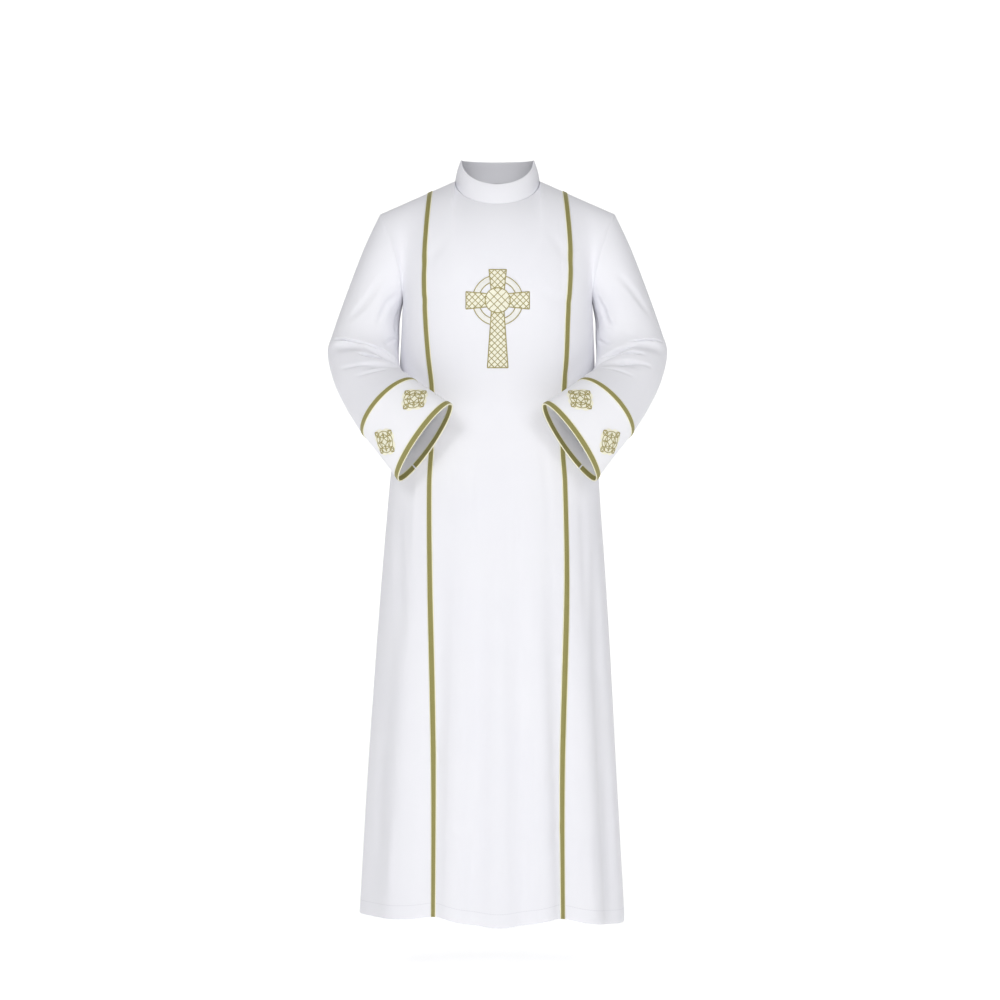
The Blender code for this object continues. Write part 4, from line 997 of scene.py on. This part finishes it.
def crossLines():
    outlines, diagonals = [], []
    start, reach = math.sqrt(cross["centre"] ** 2 - cross["waist"] ** 2), cross["diagonal"]
    for arm in arms:
        far = arm[1]
        corners = [armPoint(arm, start, -armHalf(arm, start)), armPoint(arm, start, armHalf(arm, start)),
                   armPoint(arm, far, armHalf(arm, far)), armPoint(arm, far, -armHalf(arm, far))]
        outlines += [lineOf(corners[1], corners[2]), lineOf(corners[3], corners[0])]
        outlines.append(lineOf(corners[3], corners[2]))
        (x0, z0), (x1, z1) = corners[1] - corners[0], corners[2] - corners[0]
        inside = corners if x0 * z1 > z0 * x1 else corners[::-1]
        for slope in (-1, 1):
            count = int(far / cross["lattice"]) + 2
            for k in range(-2, count):
                mid = far - cross["lattice"] * (k + 0.5) * cross["stretch"]
                ends = (armPoint(arm, mid + way * reach, way * reach * slope) for way in (-1, 1))
                kept = clipLine(*ends, inside)
                if kept:
                    diagonals.append((lineOf(*kept), slope))
    loops = [cross["centre"] * circleAt(np.linspace(0, 2 * np.pi, 81)[:-1])]
    for slope in (-1, 1):
        for k in (-1, 0, 1):
            off = k * cross["centreLattice"]
            half = math.sqrt(cross["centre"] ** 2 - off ** 2)
            way, across = np.array((1, slope)) / math.sqrt(2), np.array((-slope, 1)) / math.sqrt(2)
            diagonals.append((lineOf(across * off - way * half, across * off + way * half), slope))
    for radius in (cross["ring"], cross["ringInner"]):
        outlines += [radius * circleAt(np.linspace(*ringTurns(k, radius), 24)) for k in range(4)]
    return outlines, loops, diagonals


def crossPatches():
    start = math.sqrt(cross["centre"] ** 2 - cross["waist"] ** 2)
    plans = []
    for arm in arms:
        far = np.linspace(0, 1, max(8, int(arm[1] / 0.004)))[:, None]
        off = np.linspace(-1, 1, 9)[None, :]
        inner = np.sqrt(cross["centre"] ** 2 - (off * armHalf(arm, start)) ** 2)
        distance = mix(inner, arm[1], far)
        plans.append(armPoint(arm, distance, off * armHalf(arm, distance)))
    plans.append(discPlan(lambda angle: cross["centre"] * np.ones_like(angle), 13))
    radius = np.linspace(cross["ringInner"], cross["ring"], 5)[None, :]
    for k in range(4):
        turns = mix(*ringTurns(k, radius), np.linspace(0, 1, 14)[:, None])
        plans.append(radius[..., None] * circleAt(turns))
    return plans


def surfaceOfPanel(piece):
    tree = BVHTree.FromPolygons([v.co for v in piece.data.vertices], [tuple(p.vertices) for p in piece.data.polygons])

    def surface(plan):
        flat = plan.reshape(-1, 2)
        points, ways = np.empty((len(flat), 3)), np.empty((len(flat), 3))
        for i, (x, z) in enumerate(flat):
            ahead = Vector((x + cross["x"], -0.6, z + cross["height"]))
            hit, normal = tree.ray_cast(ahead, Vector((0, 1, 0)))[:2]
            points[i], ways[i] = hit, normal
        points = points + ways * cross["gap"]
        return points.reshape(*plan.shape[:-1], 3), ways.reshape(*plan.shape[:-1], 3)

    return surface


def laidThread(plan, surface, width, height, lift=0.0, closed=False):
    points, ways = surface(plan)
    lift = np.broadcast_to(np.asarray(lift, float), points.shape[:1])
    return sweepThread(points + ways * lift[:, None], ways, width, height, closed)


def makeCross():
    surface = surfaceOfPanel(panels["frontPanel"][0])
    # the arms and the centre are cream, the ring behind them is white
    parts = [(*patchArrays(plan, surface, cross["fill"]), 1 if number < 5 else 2)
             for number, plan in enumerate(crossPatches())]
    outlines, loops, diagonals = crossLines()
    base = cross["fill"] * cross["sunk"]
    for line, slope in diagonals:
        far = distanceAlong(line)
        wave = cross["weaveLift"] * (1 + slope * np.sin(far * math.pi / cross["lattice"] * 1.2))
        parts.append((*laidThread(line, surface, cross["line"], cross["threadHeight"] * 0.8, base + wave), 0))
    for line in outlines:
        parts.append((*laidThread(line, surface, cross["outline"], cross["threadHeight"], base), 0))
    for line in loops:
        parts.append((*laidThread(line, surface, cross["outline"], cross["threadHeight"], base, True), 0))
    return makePiece("chestCrossEmbroidery", parts, [goldThread, fillThread, whiteThread], ["chest_cross"],
                     70)


roundel = {
    "radius": 0.0270, "lobe": 0.20, "fill": 0.0005,
    "places": ((0.138, 0.55), (0.400, 0.50), (0.62, 0.50), (0.87, 0.55)),  # share of the way round, and along
    "circle": 0.0196, "reach": 0.0177, "loop": 0.0096, "eye": 0.0132, "thread": 0.0016, "threadHeight": 0.0007,
    "weaveLift": 0.0002, "gap": 0.0003, "corner": 0.0050, "cornerPlace": 0.0211, "small": 0.62, "sunk": 0.6,
}


def cuffSurface(grid, ways, around, along):
    rows, count = grid.shape[:2]
    girth = lengthOf(grid[0] - np.roll(grid[0], 1, 0)).sum()
    tall = np.linalg.norm(grid[-1, 0] - grid[0, 0])

    def surface(plan):
        u = (around + plan[..., 0] / girth) * count
        v = np.clip((along + plan[..., 1] / tall) * (rows - 1), 0, rows - 1.001)
        c, r = np.floor(u).astype(int), np.floor(v).astype(int)
        u, v = (u - c)[..., None], (v - r)[..., None]
        found = []
        for values in (grid, ways):
            top = mix(values[r, c % count], values[r, (c + 1) % count], u)
            low = mix(values[r + 1, c % count], values[r + 1, (c + 1) % count], u)
            found.append(mix(top, low, v))
        out = found[1] / lengthOf(found[1])
        return found[0] + out * roundel["gap"], out

    return surface


def makeRoundel(name, node, grid, ways, around, along):
    # a circle woven through a cord that loops at four corners
    surface = cuffSurface(grid, ways, around, along)
    plan = discPlan(lambda angle: roundel["radius"] * (
        1 - roundel["lobe"] + roundel["lobe"] * np.abs(np.cos(2 * angle)) ** 0.7), 21)
    parts = [(*patchArrays(plan, surface, roundel["fill"]), 1)]
    base = roundel["fill"] * roundel["sunk"]
    turns = np.linspace(0, 2 * np.pi, 161)[:-1]

    def layThread(line, lift):
        parts.append((*laidThread(line, surface, roundel["thread"], roundel["threadHeight"], lift, True), 0))

    cord = np.stack([roundel["reach"] * np.cos(turns) + roundel["loop"] * np.cos(3 * turns),
                     roundel["reach"] * np.sin(turns) - roundel["loop"] * np.sin(3 * turns)], -1)
    wave = roundel["weaveLift"] * (1 + np.sin(turns * 8))
    eighth = np.array(((1, 1), (-1, 1))) / math.sqrt(2)
    for line in (cord, cord @ eighth * roundel["small"]):  # a large cord and a small one turned an eighth
        layThread(line, base + wave)
    wave = roundel["weaveLift"] * (1 - np.sin(turns * 8))
    for radius in (roundel["circle"], roundel["eye"]):
        layThread(radius * circleAt(turns), base + wave)
    turns = turns[::4]
    for k in range(4):  # a small ring through each corner loop
        layThread(roundel["cornerPlace"] * circleAt(k * math.pi / 2) + roundel["corner"] * circleAt(turns), base)
    return makePiece(name, parts, [goldThread, fillThread], [node], 70)


# Front braids

def stripAcross(side):
    shifts = np.linspace(-braid["width"] / 2, braid["width"] / 2, braid["steps"] + 1)
    columns = [braidColumn(side, shift) for shift in shifts]
    grid = np.stack(columns if side > 0 else columns[::-1], 1)
    depth = creaseDepth(grid[..., 0], grid[..., 2], body["frontCreases"])
    ways = gridNormals(grid)
    return grid - ways * depth[..., None], ways


for side, word in ((-1, "Left"), (1, "Right")):
    points, ways = stripAcross(side)
    makeStrip("frontBraid" + word, "front_braid_" + word.lower(), points, ways)
print("front braids made")

crossPiece = makeCross()
print("chest cross made")

for side, word in ((-1, "Left"), (1, "Right")):
    lower = word.lower()
    grid, cuff = sleeveGrids(side)
    grid = pressSleeve(grid, side)
    cuff = np.concatenate([grid[-1:], cuff[1:]])
    ways = -side * gridNormals(np.concatenate([grid, cuff[1:]]), True)
    sleeveOut, cuffOut = ways[:len(grid)], ways[len(grid) - 1:]
    for name, points, out, cloth, slot, *edges in (
            ("sleeve", grid, sleeveOut, robeCloth, "white_cloth", "top"),
            ("cuff", cuff, cuffOut, cuffCloth, "cuff_cloth")):
        sheet = sheetOf(points, out, sleeve["cloth"])
        seamEdge(sheet, *edges)
        makePiece(
            name + word, [(*sheetArrays(sheet, True), 0)], [cloth], [name + "_" + lower])
    tall = np.linalg.norm(cuff[-1, 0] - cuff[0, 0])
    share = np.linspace(0, braid["width"] / tall, braid["steps"] + 1)[:, None, None]
    strip = mix(cuff[:1], cuff[-1:], share)
    makeStrip(
        "cuffUpperBraid" + word, "cuff_upper_braid_" + lower, strip, -side * gridNormals(strip, True), True)
    makeBinding("cuffEdgeBraid" + word, "cuff_edge_braid_" + lower, cuff, cuffOut)
    for number, (around, along) in enumerate(roundel["places"], 1):
        name = "cuffRoundel" + word + str(number)
        makeRoundel(name, f"cuff_roundel_{lower}_{number}", cuff, cuffOut, around, along)
    print("sleeve and cuff made:", lower)


# Names of the braids and roundels on each cuff

for word in ("Left", "Right"):
    onCuff = ["cuffUpperBraid" + word, "cuffEdgeBraid" + word]
    onCuff += [f"cuffRoundel{word}{number}" for number in range(1, len(roundel["places"]) + 1)]


# Floor, light and camera

studio = {
    "floor": -1.535, "floorSize": 16, "floorWhite": "#FDFDFD", "glow": 0.55, "world": 0.30,
    "wall": ((0.15, 0.6), (0.6, 0.45), (1.2, 0.2), (6.0, 0.0)),  # the floor curves up in these steps, up and back
    "distance": 5.0, "level": -0.609, "sideways": 0.0049, "viewWidth": 1.945,
    "lights": [  # place, aimed at, size, watts
        ((-1.6, -4.6, 1.5), (0, 0, -0.5), 1.6, 58),
        ((1.7, -4.6, 0.9), (0, 0, -0.5), 1.8, 43),
        ((0.0, -1.8, 2.6), (0, 0, -0.4), 2.0, 12),
        ((0.0, 3.0, 2.2), (0, 0, -0.5), 2.6, 10)],
}


def makeStage():
    bpy.ops.object.select_all(action="DESELECT")
    bpy.ops.mesh.primitive_plane_add(size=studio["floorSize"], location=(0, 0, studio["floor"]))
    floor = bpy.context.object
    floor.name = "studioFloor"
    bpy.ops.object.transform_apply(location=True, rotation=True, scale=True)
    mesh = bmesh.new()
    mesh.from_mesh(floor.data)
    edge = [e for e in mesh.edges if all(v.co.y > 0 for v in e.verts)]
    for up, along in studio["wall"]:
        grown = bmesh.ops.extrude_edge_only(mesh, edges=edge)["geom"]
        verts = [v for v in grown if isinstance(v, bmesh.types.BMVert)]
        edge = [e for e in grown if isinstance(e, bmesh.types.BMEdge)]
        bmesh.ops.translate(mesh, verts=verts, vec=(0, along, up))
    bmesh.ops.recalc_face_normals(mesh, faces=mesh.faces)
    mesh.to_mesh(floor.data)
    mesh.free()
    floor.data.shade_smooth()
    material, tree = newMaterial("paintedStudioWhite", Roughness=0.9, SpecularIORLevel=0.1,
                                 EmissionColor=(1, 1, 1, 1), EmissionStrength=studio["glow"])
    grain = addNode(tree, "TexNoise", Scale=3.0)  # rolled paint: next to no texture from here
    tint = addNode(tree, "Mix", {"data_type": "RGBA"}, Factor=grain.outputs["Fac"],
                   in6=studio["floorWhite"], in7="#FFFFFF").outputs[2]
    tree.links.new(tint, tree.nodes["Principled BSDF"].inputs["Base Color"])
    floor.data.materials.append(material)


def makeLights():
    world = bpy.data.worlds.new("softStudio")
    bpy.context.scene.world = world
    world.use_nodes = True
    world.node_tree.nodes["Background"].inputs["Color"].default_value = (1, 1, 1, 1)
    world.node_tree.nodes["Background"].inputs["Strength"].default_value = studio["world"]
    for number, (place, aim, size, watts) in enumerate(studio["lights"]):
        data = bpy.data.lights.new(f"softbox{number}", "AREA")
        data.shape, data.size, data.energy = "SQUARE", size, watts
        light = bpy.data.objects.new(data.name, data)
        light.location = place
        light.rotation_euler = (Vector(aim) - Vector(place)).to_track_quat("-Z", "Y").to_euler()
        bpy.context.collection.objects.link(light)


def makeCamera():
    data = bpy.data.cameras.new("camera")
    data.sensor_width = 36
    data.lens = 18 / (studio["viewWidth"] / 2 / studio["distance"])
    camera = bpy.data.objects.new("camera", data)
    camera.location = (studio["sideways"], -studio["distance"], studio["level"])
    camera.rotation_euler = (math.pi / 2, 0, 0)
    bpy.context.collection.objects.link(camera)
    bpy.context.scene.camera = camera


makeStage()
makeLights()
makeCamera()
bpy.context.scene.view_settings.view_transform = "Standard"
bpy.context.scene.view_settings.look = "None"
print("studio made")
